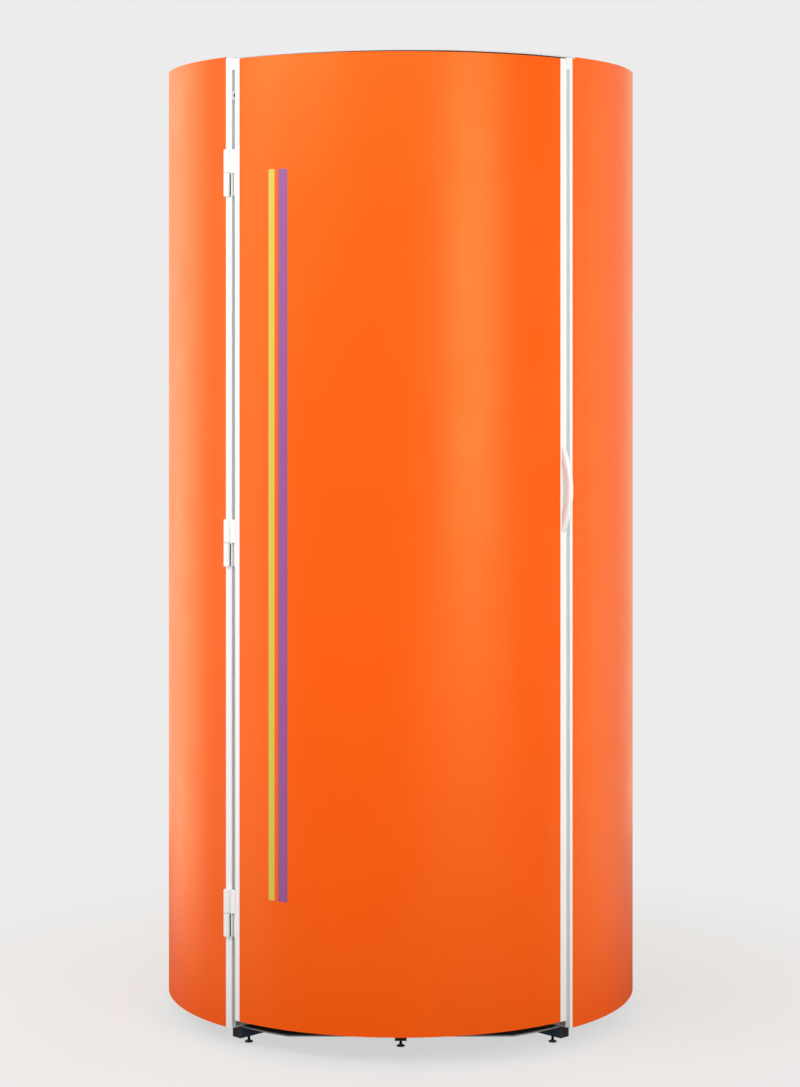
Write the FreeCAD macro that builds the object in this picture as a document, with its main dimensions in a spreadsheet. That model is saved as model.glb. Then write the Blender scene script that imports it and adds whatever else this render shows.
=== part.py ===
import FreeCAD, Part
import os
import re

import Sketcher
from FreeCAD import Placement, Rotation, Vector

# Vertical tanning booth: a round cabin on a welded chassis, with lamps all round the standing user and a
# curved front door on three lift-off hinges. Millimetres; +Z up, origin on the floor at the cabin's axis, the
# door at -Y. Azimuths are counted from the front, positive towards the right-hand side (+X).

# ---------------------------------------------------------------------------------------------------------
# Driving sizes
# ---------------------------------------------------------------------------------------------------------

SIZES = {
    # cabin
    "cabin_radius": 398,
    "skin_sheet": 1.5,
    "seam_azimuth": 118,
    "seam_gap": 1,
    "joint_strip_width": 40,
    # rear panel openings
    "slot_web": 15,
    "slot_length": 90,
    "slot_height": 7,
    "slot_pitch": 20,
    "inlet_rise": 106,
    "inlet_rows": 6,
    "outlet_drop": 160,
    "outlet_rows": 4,
    # doorway and edge profiles
    "opening_half_angle": 43.1,
    "door_gap": 11,
    "door_bottom_gap": 19,
    "door_top_gap": 6,
    "edge_face_width": 17.4,
    "edge_wall": 2,
    "edge_lip": 15,
    "edge_rib_inset": 64,
    "edge_play": 0.3,
    # chassis
    "foot_height": 16,
    "arm_section": 25,
    "arm_wall": 2,
    "front_arm_setback": 117,
    "hub_reach": 60,
    "hub_bore": 44,
    "weld_overlap": 4,
    "base_inset": 30,
    "base_sheet": 3,
    "base_front_cut": 60,
    "vent_width": 12,
    "vent_length": 44,
    "vent_inset": 35,
    "vent_count": 8,
    # feet
    "diagonal_foot_setback": 35,
    "front_foot_setback": 19,
    "foot_pad_radius": 9,
    "foot_pad_height": 5,
    "foot_rim_height": 1,
    "foot_stem_radius": 3,
    "foot_stem_reach": 8,
    "foot_clearance": 0.3,
    # floor
    "platform_height": 56,
    "platform_clearance": 2,
    "platform_sheet": 8,
    "platform_rib": 6,
    "mat_thickness": 3,
    "mat_margin": 18,
    # shields
    "shield_inset": 4,
    "shield_sheet": 3,
    "groove_depth": 8,
    "groove_play": 1,
    "joiner_width": 44,
    "joiner_sheet": 2,
    # lamps, reflectors and channels
    "lamp_radius": 19,
    "lamp_glass": 1,
    "lamp_length": 1764,
    "lamp_gap": 8,
    "lamp_step_angle": 10.9,
    "body_lamp_count": 25,
    "door_lamp_count": 7,
    "holder_height": 22,
    "holder_width": 30,
    "holder_depth": 36,
    "reflector_gap": 7,
    "reflector_sheet": 1,
    "channel_sheet": 2,
    "channel_clearance": 0.3,
    "lower_deck_rise": 84,
    "rim_cover": 20,
    "ledge_rise": 22,
    "ledge_reach": 7,
    "ledge_clearance": 1,
    # ceiling, roof and fan
    "ceiling_sheet": 2,
    "ceiling_clearance": 1,
    "plenum_height": 141,
    "roof_sheet": 3,
    "roof_clearance": 0.4,
    "fan_opening_half": 150,
    "duct_wall": 2,
    "grille_slot_width": 14,
    "grille_slot_pitch": 30,
    "grille_slot_count": 9,
    "grille_sheet": 2,
    "grille_rim": 14,
    "motor_radius": 45,
    "motor_height": 52,
    "motor_drop": 30,
    "motor_bracket_width": 20,
    "motor_bracket_sheet": 3,
    "shaft_radius": 4,
    "shaft_clearance": 0.05,
    "rotor_hub_radius": 40,
    "rotor_height": 30,
    "rotor_tip_clearance": 10,
    "rotor_lift": 8,
    "blade_count": 5,
    "blade_thickness": 3,
    "blade_root_chord": 30,
    "blade_tip_chord": 64,
    "blade_angle": 30,
    # electrics
    "ballast_gap": 5,
    "ballast_depth": 42,
    "ballast_width": 52,
    "ballast_height": 190,
    "ballast_step_angle": 13,
    "ballast_columns": 8,
    "ballast_row_gap": 70,
    "tray_half_angle": 60,
    "tray_sheet": 1.5,
    "tray_height": 1500,
    "tray_gap": 16,
    "tray_air": 0.2,
    "switchgear_width": 200,
    "switchgear_height": 420,
    "switchgear_depth": 28,
    "gland_half_width": 13,
    "gland_thread_radius": 10,
    "gland_bore_radius": 5,
    "gland_play": 0.1,
    "gland_nut": 6,
    "gland_reach": 18,
    "gland_inset": 25,
    "gland_azimuth": 160,
    # controls
    "control_width": 90,
    "control_height": 170,
    "control_depth": 32,
    "control_centre": 1250,
    "button_half": 12,
    "button_length": 16,
    "button_proud": 7,
    "button_spread": 44,
    "button_clearance": 0.4,
    "button_well_depth": 14,
    # grab handles
    "grab_offset": 210,
    "grab_span": 130,
    "grab_width": 26,
    "grab_thickness": 10,
    "grab_drop": 60,
    "grab_corner": 24,
    # hinges
    "hinge_count": 3,
    "hinge_height": 100,
    "hinge_foot_gap": 176,
    "hinge_head_gap": 191,
    "hinge_axis_out": 6.8,
    "hinge_axis_in": 7.7,
    "hinge_pin_radius": 3.5,
    "hinge_pin_clearance": 0.05,
    "hinge_play": 0.3,
    "knuckle_radius": 6.3,
    "knuckle_rise": 0.3,
    "knuckle_cap": 4,
    "leaf_sheet": 3,
    "leaf_depth": 40,
    # bow handle
    "handle_bottom": 1095,
    "handle_length": 185,
    "handle_width": 12,
    "handle_reach": 25,
    "handle_hole_length": 118,
    "handle_hole_reach": 16,
    "handle_chamfer": 2,
    # catches, switch and seals
    "catch_inset": 40,
    "catch_depth": 30,
    "catch_height": 60,
    "catch_plate_sheet": 2,
    "catch_air": 0.4,
    "catch_offset": 180,
    "seal_thickness": 6,
    "seal_depth": 12,
    "switch_height": 18,
    "switch_depth": 14,
    "switch_reach": 6,
    "switch_drop": 74,
}

# Levels, radii and angles that follow from the driving sizes, from the floor up and from the cabin outwards.
LEVELS = {
    "arm_top": "foot_height + arm_section",
    "base_top": "arm_top + base_sheet",
    "lower_deck_top": "base_top + lower_deck_rise",
    "lamp_bottom": "lower_deck_top + holder_height",
    "lamp_top": "lamp_bottom + lamp_length",
    "upper_deck_bottom": "lamp_top + holder_height",
    "ceiling_bottom": "upper_deck_bottom + channel_sheet + ledge_rise",
    "motor_base": "ceiling_bottom + ceiling_sheet + motor_drop + motor_bracket_sheet",
    "roof_bottom": "ceiling_bottom + plenum_height",
    "panel_top": "roof_bottom + roof_sheet",
    "panel_height": "panel_top - base_top",
    "door_bottom": "base_top + door_bottom_gap",
    "door_height": "panel_height - door_bottom_gap - door_top_gap",
    "shield_height": "ceiling_bottom - base_top - 2 * channel_sheet",
    "hinge_bottom": "door_bottom + hinge_foot_gap",
    "hinge_pitch": "(door_height - hinge_foot_gap - hinge_head_gap - hinge_height) / (hinge_count - 1)",
    "knuckle_length": "(hinge_height - hinge_play) / 2",
    "ledge_radius": "cabin_radius + ledge_clearance",
    "shield_radius": "cabin_radius + shield_inset",
    "joiner_face": "sqrt(shield_radius ^ 2 - (joiner_width / 2) ^ 2)",
    "skirt_radius": "shield_radius + shield_sheet + channel_clearance",
    "lamp_ring_radius": "shield_radius + shield_sheet + lamp_gap + lamp_radius",
    "reflector_radius": "lamp_ring_radius + lamp_radius + reflector_gap",
    "tray_radius": "reflector_radius + reflector_sheet + ballast_gap + ballast_depth",
    "panel_inner_radius": "tray_radius + tray_sheet + tray_gap",
    "shell_radius": "panel_inner_radius + skin_sheet",
    "lip_radius": "panel_inner_radius - edge_wall",
    "edge_lip_drop": "lip_radius - sqrt(lip_radius ^ 2 - (edge_face_width + edge_lip) ^ 2)",
    "deck_outer_radius": "lip_radius - channel_clearance - edge_lip_drop",
    "edge_rib_radius": "cabin_radius + edge_rib_inset",
    "base_radius": "shell_radius - base_inset",
    "front_arm_reach": "base_radius - front_arm_setback",
    "diagonal_foot_radius": "base_radius - diagonal_foot_setback",
    "front_foot_radius": "front_arm_reach - front_foot_setback",
    "vent_outer_radius": "base_radius - vent_inset",
    "gland_ring_radius": "base_radius - gland_inset",
    "rotor_tip_radius": "fan_opening_half - rotor_tip_clearance",
    "door_half_angle": "opening_half_angle - door_gap / shell_radius * 180 / pi",
    "face_angle": "asin(edge_face_width / shell_radius) / 1 deg",
    "edge_play_angle": "edge_play / shell_radius * 180 / pi",
    "seam_half_angle": "seam_gap / 2 / shell_radius * 180 / pi",
    "channel_end_angle": "asin((edge_face_width + channel_clearance) / cabin_radius) / 1 deg",
    "reflector_edge_angle": "asin((edge_face_width + edge_play) / reflector_radius) / 1 deg",
    "shield_edge_angle": "asin((edge_face_width - groove_depth + groove_play) / shield_radius) / 1 deg",
    "shield_seam_angle": "groove_play / 2 / shield_radius * 180 / pi",
    "hinge_axis_radius": "sqrt((shell_radius + hinge_axis_out) ^ 2 + hinge_axis_in ^ 2)",
    "hinge_axis_angle": "opening_half_angle + atan(hinge_axis_in / (shell_radius + hinge_axis_out)) / 1 deg",
}

# Round pieces that repeat or are out of sight are drawn with flat sides, as many as their size needs.
LAMP_SIDES = 8
HUB_SIDES = 10
FOOT_SIDES = 12
MOTOR_SIDES = 12
THREAD_SIDES = 12
KNUCKLE_SIDES = 16
INNER_DISC_SIDES = 36

# Sketches start at this rough size, and their formulas then set them.
FIRST_RADIUS = 100

ALIAS = re.compile(r"[a-z]+(?:_[a-z]+)+")


def main():
    """Build the whole booth and write one STEP file for each sub-part."""
    build_chassis()
    build_feet()
    build_floor()
    build_shell()
    build_edges()
    build_door_skin()
    build_channels()
    build_lamps()
    build_reflectors_and_shields()
    build_roof()
    build_fan()
    build_electrics()
    build_controls()
    build_grab_handles()
    build_hinges()
    build_handle()
    build_catches()
    export_all()


# ---------------------------------------------------------------------------------------------------------
# Sheets and expressions
# ---------------------------------------------------------------------------------------------------------


def formula(text, inside_levels=False):
    """Turn size names into references to the cells that hold them."""

    def reference(match):
        name = match.group(0)
        if name in SIZES:
            return "Sizes." + name
        if name not in LEVELS:
            raise KeyError(name)
        return name if inside_levels else "Levels." + name

    return ALIAS.sub(reference, text)


def fill_sheet(label, entries):
    """Write names in column A and values in column B, with the name as the value's alias."""
    sheet = document.addObject("Spreadsheet::Sheet", label)
    for row, (name, content) in enumerate(entries.items(), start=1):
        sheet.set(f"A{row}", name)
        sheet.set(f"B{row}", content)
        sheet.setAlias(f"B{row}", name)
    document.recompute()
    return sheet


# ---------------------------------------------------------------------------------------------------------
# Bodies, sketches and features
# ---------------------------------------------------------------------------------------------------------


def new_body(label):
    """Start an empty body whose label names its file."""
    body = document.addObject("PartDesign::Body", label)
    body.Label = label
    parts.append(body)
    return body


def origin_feature(body, role):
    """The body's own origin plane or axis with this role."""
    return next(item for item in body.Origin.OriginFeatures if item.Role == role)


def new_sketch(body, name, plane="XY_Plane", lift="0"):
    """A sketch on one of the body's origin planes, lifted along the plane's normal."""
    sketch = body.newObject("Sketcher::SketchObject", f"{body.Name}_{name}")
    sketch.AttachmentSupport = [(origin_feature(body, plane), "")]
    sketch.MapMode = "FlatFace"
    if lift != "0":
        sketch.setExpression("AttachmentOffset.Base.z", formula(lift))
    return sketch


def pin_point(sketch, geometry, vertex, across, up):
    """Fix a point of a sketch by two formulas."""
    guess = sketch.getPoint(geometry, vertex)
    for kind, axis, distance, now in (("DistanceX", -2, across, guess.x), ("DistanceY", -1, up, guess.y)):
        if distance == "0":
            sketch.addConstraint(Sketcher.Constraint("PointOnObject", geometry, vertex, axis))
            continue
        index = sketch.addConstraint(Sketcher.Constraint(kind, -1, 1, geometry, vertex, now))
        sketch.setExpression(f"Constraints[{index}]", formula(distance))


def draw_polygon(sketch, corners):
    """A closed outline of straight lines through corners given as pairs of formulas."""
    start = len(sketch.Geometry)
    count = len(corners)
    ring = Vector(FIRST_RADIUS, 0, 0)
    guess = [Rotation(Vector(0, 0, 1), 360 * i / count).multVec(ring) for i in range(count)]
    for i in range(count):
        sketch.addGeometry(Part.LineSegment(guess[i], guess[(i + 1) % count]), False)
    for i in range(count):
        following = start + (i + 1) % count
        sketch.addConstraint(Sketcher.Constraint("Coincident", start + i, 2, following, 1))
    for i, (across, up) in enumerate(corners):
        pin_point(sketch, start + i, 1, across, up)


def draw_rectangle(sketch, left, bottom, right, top):
    """A rectangle between two corners given by formulas."""
    draw_polygon(sketch, [(left, bottom), (right, bottom), (right, top), (left, top)])


def draw_flats(sketch, sides, radius, across="0", up="0", turn=0):
    """A regular polygon whose corners lie on a circle given by formulas."""
    corners = []
    for corner in range(sides):
        angle = turn + corner * 360 / sides
        corners.append((f"{across} + ({radius}) * cos({angle})", f"{up} + ({radius}) * sin({angle})"))
    draw_polygon(sketch, corners)


def draw_circle(sketch, radius, across="0", up="0"):
    """A circle whose centre and radius are formulas."""
    circle = sketch.addGeometry(Part.Circle(Vector(0, 0, 0), Vector(0, 0, 1), FIRST_RADIUS), False)
    index = sketch.addConstraint(Sketcher.Constraint("Radius", circle, FIRST_RADIUS))
    sketch.setExpression(f"Constraints[{index}]", formula(radius))
    pin_point(sketch, circle, 3, across, up)


def pad(body, sketch, length, name, symmetric=False, reverse=False):
    """Pad a sketch by a formula."""
    feature = body.newObject("PartDesign::Pad", f"{body.Name}_{name}")
    feature.Profile = sketch
    feature.setExpression("Length", formula(length))
    feature.Midplane = symmetric
    feature.Reversed = reverse
    body.Tip = feature
    return feature


def pocket(body, sketch, length, name, symmetric=False, reverse=False):
    """Cut a sketch into the body and check that it removes something."""
    document.recompute()
    before = body.Shape.Volume
    feature = body.newObject("PartDesign::Pocket", f"{body.Name}_{name}")
    feature.Profile = sketch
    feature.setExpression("Length", formula(length))
    feature.Midplane = symmetric
    feature.Reversed = reverse
    body.Tip = feature
    document.recompute()
    if body.Shape.Volume >= before:
        raise RuntimeError(f"{feature.Name} cuts nothing")
    return feature


def ring_pattern(body, features, count, name, pitch=None):
    """Repeat features about the body's Z axis, all round or at a pitch in degrees."""
    pattern = body.newObject("PartDesign::PolarPattern", f"{body.Name}_{name}")
    pattern.Originals = features
    pattern.Axis = (origin_feature(body, "Z_Axis"), [""])
    if pitch:
        pattern.Mode = "Spacing"
        pattern.setExpression("Offset", formula(f"({pitch}) * 1 deg"))
    pattern.setExpression("Occurrences", formula(count))
    body.Tip = pattern
    return pattern


def row_pattern(body, features, count, pitch, name, axis="Z_Axis"):
    """Repeat features along one of the body's axes at a pitch."""
    pattern = body.newObject("PartDesign::LinearPattern", f"{body.Name}_{name}")
    pattern.Originals = features
    pattern.Direction = (origin_feature(body, axis), [""])
    pattern.Mode = "Spacing"
    pattern.setExpression("Offset", formula(pitch))
    pattern.setExpression("Occurrences", formula(count))
    body.Tip = pattern
    return pattern


def revolve(body, sketch, name, half_angle=None):
    """Turn a sketch about the body's Z axis, fully or evenly to both sides of its plane."""
    feature = body.newObject("PartDesign::Revolution", f"{body.Name}_{name}")
    feature.Profile = sketch
    feature.ReferenceAxis = (sketch, ["V_Axis"])
    feature.Angle = 360
    if half_angle:
        feature.Midplane = True
        feature.setExpression("Angle", formula(f"({half_angle}) * 2 deg"))
    body.Tip = feature
    return feature


def place(body, x="0", y="0", z="0", azimuth=None, turn="0"):
    """Place a body. An azimuth points its X axis outwards there, and turn is added to it."""
    body.Placement = Placement(Vector(0, 0, 0), Rotation(Vector(0, 0, 1), 1))
    for axis, distance in (("x", x), ("y", y), ("z", z)):
        body.setExpression(f"Placement.Base.{axis}", formula(distance))
    angle = turn if azimuth is None else f"({azimuth}) - 90 + ({turn})"
    body.setExpression("Placement.Rotation.Angle", formula(f"({angle}) * 1 deg"))


def sector_sheet(label, inner, outer, half_angle, bottom, height, azimuth):
    """A rolled sheet standing on a level, centred on an azimuth."""
    body = new_body(label)
    profile = new_sketch(body, "profile", "XZ_Plane")
    draw_rectangle(profile, inner, "0", outer, height)
    revolve(body, profile, "sheet", half_angle)
    place(body, z=bottom, azimuth=azimuth)
    return body


def disc(label, radius, bottom, thickness, sides=None):
    """A flat round plate at a level, with flat sides where a number is given."""
    body = new_body(label)
    sketch = new_sketch(body, "outline")
    if sides:
        draw_flats(sketch, sides, radius)
    else:
        draw_circle(sketch, radius)
    pad(body, sketch, thickness, "plate")
    place(body, z=bottom)
    return body


# ---------------------------------------------------------------------------------------------------------
# Chassis, feet and floor
# ---------------------------------------------------------------------------------------------------------


def turned(along, aside, azimuth):
    """A point given along and aside of a direction, as a pair of formulas."""
    return (
        f"({along}) * cos({azimuth}) - ({aside}) * sin({azimuth})",
        f"({along}) * sin({azimuth}) + ({aside}) * cos({azimuth})",
    )


def draw_bar(sketch, azimuth, root, reach, half_width):
    """The plan of a straight bar that leaves the axis in a direction."""
    corners = ((root, f"-({half_width})"), (reach, f"-({half_width})"), (reach, half_width), (root, half_width))
    draw_polygon(sketch, [turned(along, aside, azimuth) for along, aside in corners])


ARM_KINDS = {
    "diagonal": ("base_radius", "diagonal_foot_radius", 45, "4"),
    "straight": ("front_arm_reach", "front_foot_radius", 0, "2"),
}


def build_chassis():
    """Six box-section arms welded to a hub ring, their end plugs and the base plate on top."""
    frame = new_body("chassis_frame")
    plugs = new_body("frame_end_plugs")
    hub = new_sketch(frame, "hub_outline")
    for reach in ("hub_reach", "hub_bore"):
        draw_flats(hub, 8, f"{reach} / cos(22.5)", turn=22.5)
    pad(frame, hub, "arm_section", "hub")
    bore_half = "arm_section / 2 - arm_wall"
    for kind, (reach, foot_radius, azimuth, count) in ARM_KINDS.items():
        outline = new_sketch(frame, f"{kind}_outline")
        draw_bar(outline, azimuth, "hub_bore + weld_overlap", reach, "arm_section / 2")
        arm = pad(frame, outline, "arm_section", f"{kind}_arm")
        bore = new_sketch(frame, f"{kind}_bore_outline", lift="arm_section - arm_wall")
        draw_bar(bore, azimuth, "hub_reach", reach, bore_half)
        hollow = pocket(frame, bore, "arm_section - 2 * arm_wall", f"{kind}_bore")
        thread = new_sketch(frame, f"{kind}_thread_outline")
        corner = "(foot_stem_radius + foot_clearance) / cos(30)"
        draw_flats(thread, 6, corner, *turned(foot_radius, "0", azimuth))
        hole = pocket(frame, thread, "arm_wall", f"{kind}_thread", reverse=True)
        ring_pattern(frame, [arm, hollow, hole], count, f"{kind}_arms")

        face = new_sketch(plugs, f"{kind}_outline", lift="arm_wall")
        draw_bar(face, azimuth, f"{reach} - arm_section / 2", reach, bore_half)
        plug = pad(plugs, face, "arm_section - 2 * arm_wall", f"{kind}_plug")
        ring_pattern(plugs, [plug], count, f"{kind}_plugs")
    place(frame, z="foot_height", azimuth="0")
    place(plugs, z="foot_height", azimuth="0")

    # The plate stops in a straight edge behind the door, and its vents lie between the arms.
    base = disc("base_plate", "base_radius", "arm_top", "base_sheet")
    front = new_sketch(base, "front_edge_outline")
    beyond, edge = "-base_radius - base_front_cut", "base_front_cut - base_radius"
    draw_rectangle(front, "-base_radius", beyond, "base_radius", edge)
    pocket(base, front, "base_sheet", "front_edge", reverse=True)
    vent = new_sketch(base, "vent_outline")
    draw_bar(vent, "180 / vent_count", "vent_outer_radius - vent_length", "vent_outer_radius", "vent_width / 2")
    hole = pocket(base, vent, "base_sheet", "vent", reverse=True)
    ring_pattern(base, [hole], "vent_count", "vents")
    entry = new_sketch(base, "gland_outline")
    draw_circle(entry, "gland_thread_radius", *turned("gland_ring_radius", "0", "gland_azimuth - 90"))
    pocket(base, entry, "base_sheet", "gland_hole", reverse=True)


def build_feet():
    """Levelling feet: a round pad, sloping at the top, with a threaded stem up into the arm."""
    half_turn = 180 / FOOT_SIDES
    for label, radius, azimuth in (
        ("foot_front", "front_foot_radius", 0),
        ("foot_right_front", "diagonal_foot_radius", 45),
        ("foot_right_rear", "diagonal_foot_radius", 135),
        ("foot_rear", "front_foot_radius", 180),
        ("foot_left_rear", "diagonal_foot_radius", 225),
        ("foot_left_front", "diagonal_foot_radius", 315),
    ):
        foot = new_body(label)
        sole = new_sketch(foot, "sole_outline")
        draw_flats(sole, FOOT_SIDES, "foot_pad_radius", turn=half_turn)
        pad(foot, sole, "foot_pad_height", "pad")
        rim, neck = f"foot_pad_radius * cos({half_turn})", f"foot_stem_radius * cos({half_turn})"
        slope = new_sketch(foot, "slope_outline", "XZ_Plane")
        draw_polygon(
            slope,
            [
                (rim, "foot_rim_height"),
                ("foot_pad_radius", "foot_rim_height"),
                ("foot_pad_radius", "foot_pad_height"),
                (neck, "foot_pad_height"),
            ],
        )
        facet = pocket(foot, slope, "2 * foot_pad_radius", "slope", symmetric=True)
        ring_pattern(foot, [facet], str(FOOT_SIDES), "slopes")
        stem = new_sketch(foot, "stem_outline", lift="foot_pad_height")
        draw_flats(stem, FOOT_SIDES, "foot_stem_radius", turn=half_turn)
        pad(foot, stem, "foot_height + foot_stem_reach - foot_pad_height", "stem")
        place(foot, x=f"{radius} * sin({azimuth})", y=f"-{radius} * cos({azimuth})")


def build_floor():
    """Raised cabin floor on ribs, with a rubber mat on top."""
    radius = "cabin_radius - platform_clearance"
    rib_height = "platform_height - platform_sheet"
    level = f"base_top + {rib_height}"
    platform = disc("floor_platform", radius, level, "platform_sheet", INNER_DISC_SIDES)
    for axis, azimuth in (("along", "0"), ("across", "90")):
        rib = new_sketch(platform, f"{axis}_rib_outline")
        draw_bar(rib, azimuth, f"-({radius}) * 0.9", f"({radius}) * 0.9", "platform_rib / 2")
        pad(platform, rib, rib_height, f"{axis}_rib", reverse=True)
    level = "base_top + platform_height"
    disc("floor_mat", f"{radius} - mat_margin", level, "mat_thickness", INNER_DISC_SIDES)


# ---------------------------------------------------------------------------------------------------------
# Shell: side and rear panels, edge profiles, door skin
# ---------------------------------------------------------------------------------------------------------


def build_shell():
    """Two side panels and a rear panel with air slots, joined by strips behind the seams."""
    start = "opening_half_angle + face_angle + edge_play_angle"
    end = "seam_azimuth - seam_half_angle"
    inner, outer = "panel_inner_radius", "shell_radius"
    for label, side in (("right_panel", ""), ("left_panel", "-")):
        middle = f"{side}({start} + {end}) / 2"
        sector_sheet(label, inner, outer, f"({end} - ({start})) / 2", "base_top", "panel_height", middle)

    rear_half = "180 - seam_azimuth - seam_half_angle"
    rear = sector_sheet("rear_panel", inner, outer, rear_half, "base_top", "panel_height", "180")
    for level, bottom, rows in (
        ("inlet", "inlet_rise", "inlet_rows"),
        ("outlet", "panel_height - outlet_drop", "outlet_rows"),
    ):
        slots = new_sketch(rear, f"{level}_outline", "YZ_Plane")
        for side in ("-", ""):
            near, far = f"{side}slot_web", f"{side}(slot_web + slot_length)"
            draw_rectangle(slots, near, bottom, far, f"{bottom} + slot_height")
        row = pocket(rear, slots, "shell_radius + 1", level, reverse=True)
        row_pattern(rear, [row], rows, "slot_pitch", f"{level}_rows")

    strips = new_body("panel_joint_strips")
    profile = new_sketch(strips, "profile", "XZ_Plane")
    draw_rectangle(profile, "lip_radius", "0", inner, "panel_height - roof_sheet")
    strip = revolve(strips, profile, "strip", "joint_strip_width / 2 / shell_radius * 180 / pi")
    ring_pattern(strips, [strip], "2", "strips", pitch="360 - 2 * seam_azimuth")
    place(strips, z="base_top", azimuth="seam_azimuth")


def edge_profile(label, azimuth, side, bottom, height):
    """A white extruded edge: face, lip behind the sheet, two chambers and a groove for the shield."""
    body = new_body(label)
    outline = new_sketch(body, "outline")
    width = f"{side}edge_face_width"
    lip = f"{side}(edge_face_width + edge_lip)"
    floor = f"{side}(edge_face_width - groove_depth)"
    groove_in = "shield_radius - groove_play"
    groove_out = "shield_radius + shield_sheet + groove_play"
    lip_end = "sqrt(panel_inner_radius ^ 2 - (edge_face_width + edge_lip) ^ 2)"
    draw_polygon(
        outline,
        [
            ("shell_radius", "0"),
            ("sqrt(shell_radius ^ 2 - edge_face_width ^ 2)", width),
            ("sqrt(panel_inner_radius ^ 2 - edge_face_width ^ 2)", width),
            (lip_end, lip),
            (f"{lip_end} - edge_wall", lip),
            (f"{lip_end} - edge_wall", width),
            (groove_out, width),
            (groove_out, floor),
            (groove_in, floor),
            (groove_in, width),
            ("cabin_radius", width),
            ("cabin_radius", "0"),
        ],
    )
    near, far = f"{side}edge_wall", f"{side}(edge_face_width - edge_wall)"
    chambers = (
        (f"{groove_out} + edge_wall", "edge_rib_radius - edge_wall"),
        ("edge_rib_radius", "shell_radius - 2 * edge_wall"),
    )
    for inner, outer in chambers:
        draw_rectangle(outline, inner, near, outer, far)
    pad(body, outline, height, "extrusion")
    place(body, z=bottom, azimuth=azimuth)


def build_edges():
    """The two door posts and the two edge profiles of the door."""
    post_height = "panel_height - roof_sheet"
    edge_profile("right_post", "opening_half_angle", "", "base_top", post_height)
    edge_profile("left_post", "-opening_half_angle", "-", "base_top", post_height)
    edge_profile("door_right_edge", "door_half_angle", "-", "door_bottom", "door_height")
    edge_profile("door_left_edge", "-door_half_angle", "", "door_bottom", "door_height")


def build_door_skin():
    """The curved front sheet of the door, between its two edge profiles."""
    half = "door_half_angle - face_angle - edge_play_angle"
    inner, outer = "panel_inner_radius", "shell_radius"
    sector_sheet("door_skin", inner, outer, half, "door_bottom", "door_height", "0")


# ---------------------------------------------------------------------------------------------------------
# Lamp channels, lamps, reflectors and shields
# ---------------------------------------------------------------------------------------------------------


def lamp_channels(label, half_angle, azimuth, profiles):
    """The rolled channels that carry the lampholders, below and above the lamps."""
    body = new_body(label)
    for name, profile in profiles.items():
        sketch = new_sketch(body, f"{name}_profile", "XZ_Plane")
        draw_polygon(sketch, profile)
        revolve(body, sketch, name, half_angle)
    place(body, azimuth=azimuth)


def lower_profile(bottom):
    """Skirt with a foot ledge under the shield, deck, and a rim that hides the lamp ends."""
    inner, outer = "skirt_radius", "skirt_radius + channel_sheet"
    return [
        ("ledge_radius", bottom),
        (outer, bottom),
        (outer, "lower_deck_top - channel_sheet"),
        ("deck_outer_radius", "lower_deck_top - channel_sheet"),
        ("deck_outer_radius", "lower_deck_top"),
        (outer, "lower_deck_top"),
        (outer, "lamp_bottom + rim_cover"),
        (inner, "lamp_bottom + rim_cover"),
        (inner, f"{bottom} + channel_sheet"),
        ("ledge_radius", f"{bottom} + channel_sheet"),
    ]


def upper_profile(top, ledge):
    """Rim over the lamp ends, deck, flange up to the top, and a ledge over the shield."""
    inner, outer = "skirt_radius", "skirt_radius + channel_sheet"
    return [
        (inner, "lamp_top - rim_cover"),
        (outer, "lamp_top - rim_cover"),
        (outer, "upper_deck_bottom"),
        ("deck_outer_radius", "upper_deck_bottom"),
        ("deck_outer_radius", "upper_deck_bottom + channel_sheet"),
        (outer, "upper_deck_bottom + channel_sheet"),
        (outer, top),
        (inner, top),
        (inner, "ceiling_bottom"),
        (ledge, "ceiling_bottom"),
        (ledge, "ceiling_bottom - channel_sheet"),
        (inner, "ceiling_bottom - channel_sheet"),
    ]


def build_channels():
    """Lamp channels of the cabin and of the door."""
    door_half = "door_half_angle - channel_end_angle"
    body_half = "180 - opening_half_angle - channel_end_angle"
    ceiling_ledge = "cabin_radius - ceiling_clearance - ledge_reach"
    door_top = "door_bottom + door_height"
    lamp_channels(
        "lamp_channels",
        body_half,
        "180",
        {"lower": lower_profile("base_top"), "upper": upper_profile("roof_bottom", ceiling_ledge)},
    )
    lamp_channels(
        "door_channels",
        door_half,
        "0",
        {"lower": lower_profile("door_bottom"), "upper": upper_profile(door_top, "ledge_radius")},
    )


def build_lamps():
    """Upright lamps at one pitch all round, each between two lampholders."""
    for owner, count, azimuth in (("body", "body_lamp_count", "180"), ("door", "door_lamp_count", "0")):
        first = f"{azimuth} - ({count} - 1) / 2 * lamp_step_angle"
        lamps = new_body(f"{owner}_lamps")
        tube = new_sketch(lamps, "outline")
        draw_flats(tube, LAMP_SIDES, "lamp_radius", "lamp_ring_radius")
        draw_flats(tube, LAMP_SIDES, "lamp_radius - lamp_glass", "lamp_ring_radius")
        lamp = pad(lamps, tube, "lamp_length", "tube")
        ring_pattern(lamps, [lamp], count, "ring", pitch="lamp_step_angle")
        place(lamps, z="lamp_bottom", azimuth=first)

        holders = new_body(f"{owner}_lampholders")
        pads = []
        for name, level in (("lower", "0"), ("upper", "holder_height + lamp_length")):
            block = new_sketch(holders, f"{name}_outline", lift=level)
            nose, back = "lamp_ring_radius - holder_depth / 2", "lamp_ring_radius + holder_depth / 2"
            half = "holder_width / 2"
            corners = [
                (nose, f"-{half} / 2"),
                (back, f"-{half}"),
                (back, half),
                (nose, f"{half} / 2"),
            ]
            draw_polygon(block, corners)
            pads.append(pad(holders, block, "holder_height", name))
        ring_pattern(holders, pads, count, "ring", pitch="lamp_step_angle")
        place(holders, z="lower_deck_top", azimuth=first)


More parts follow.
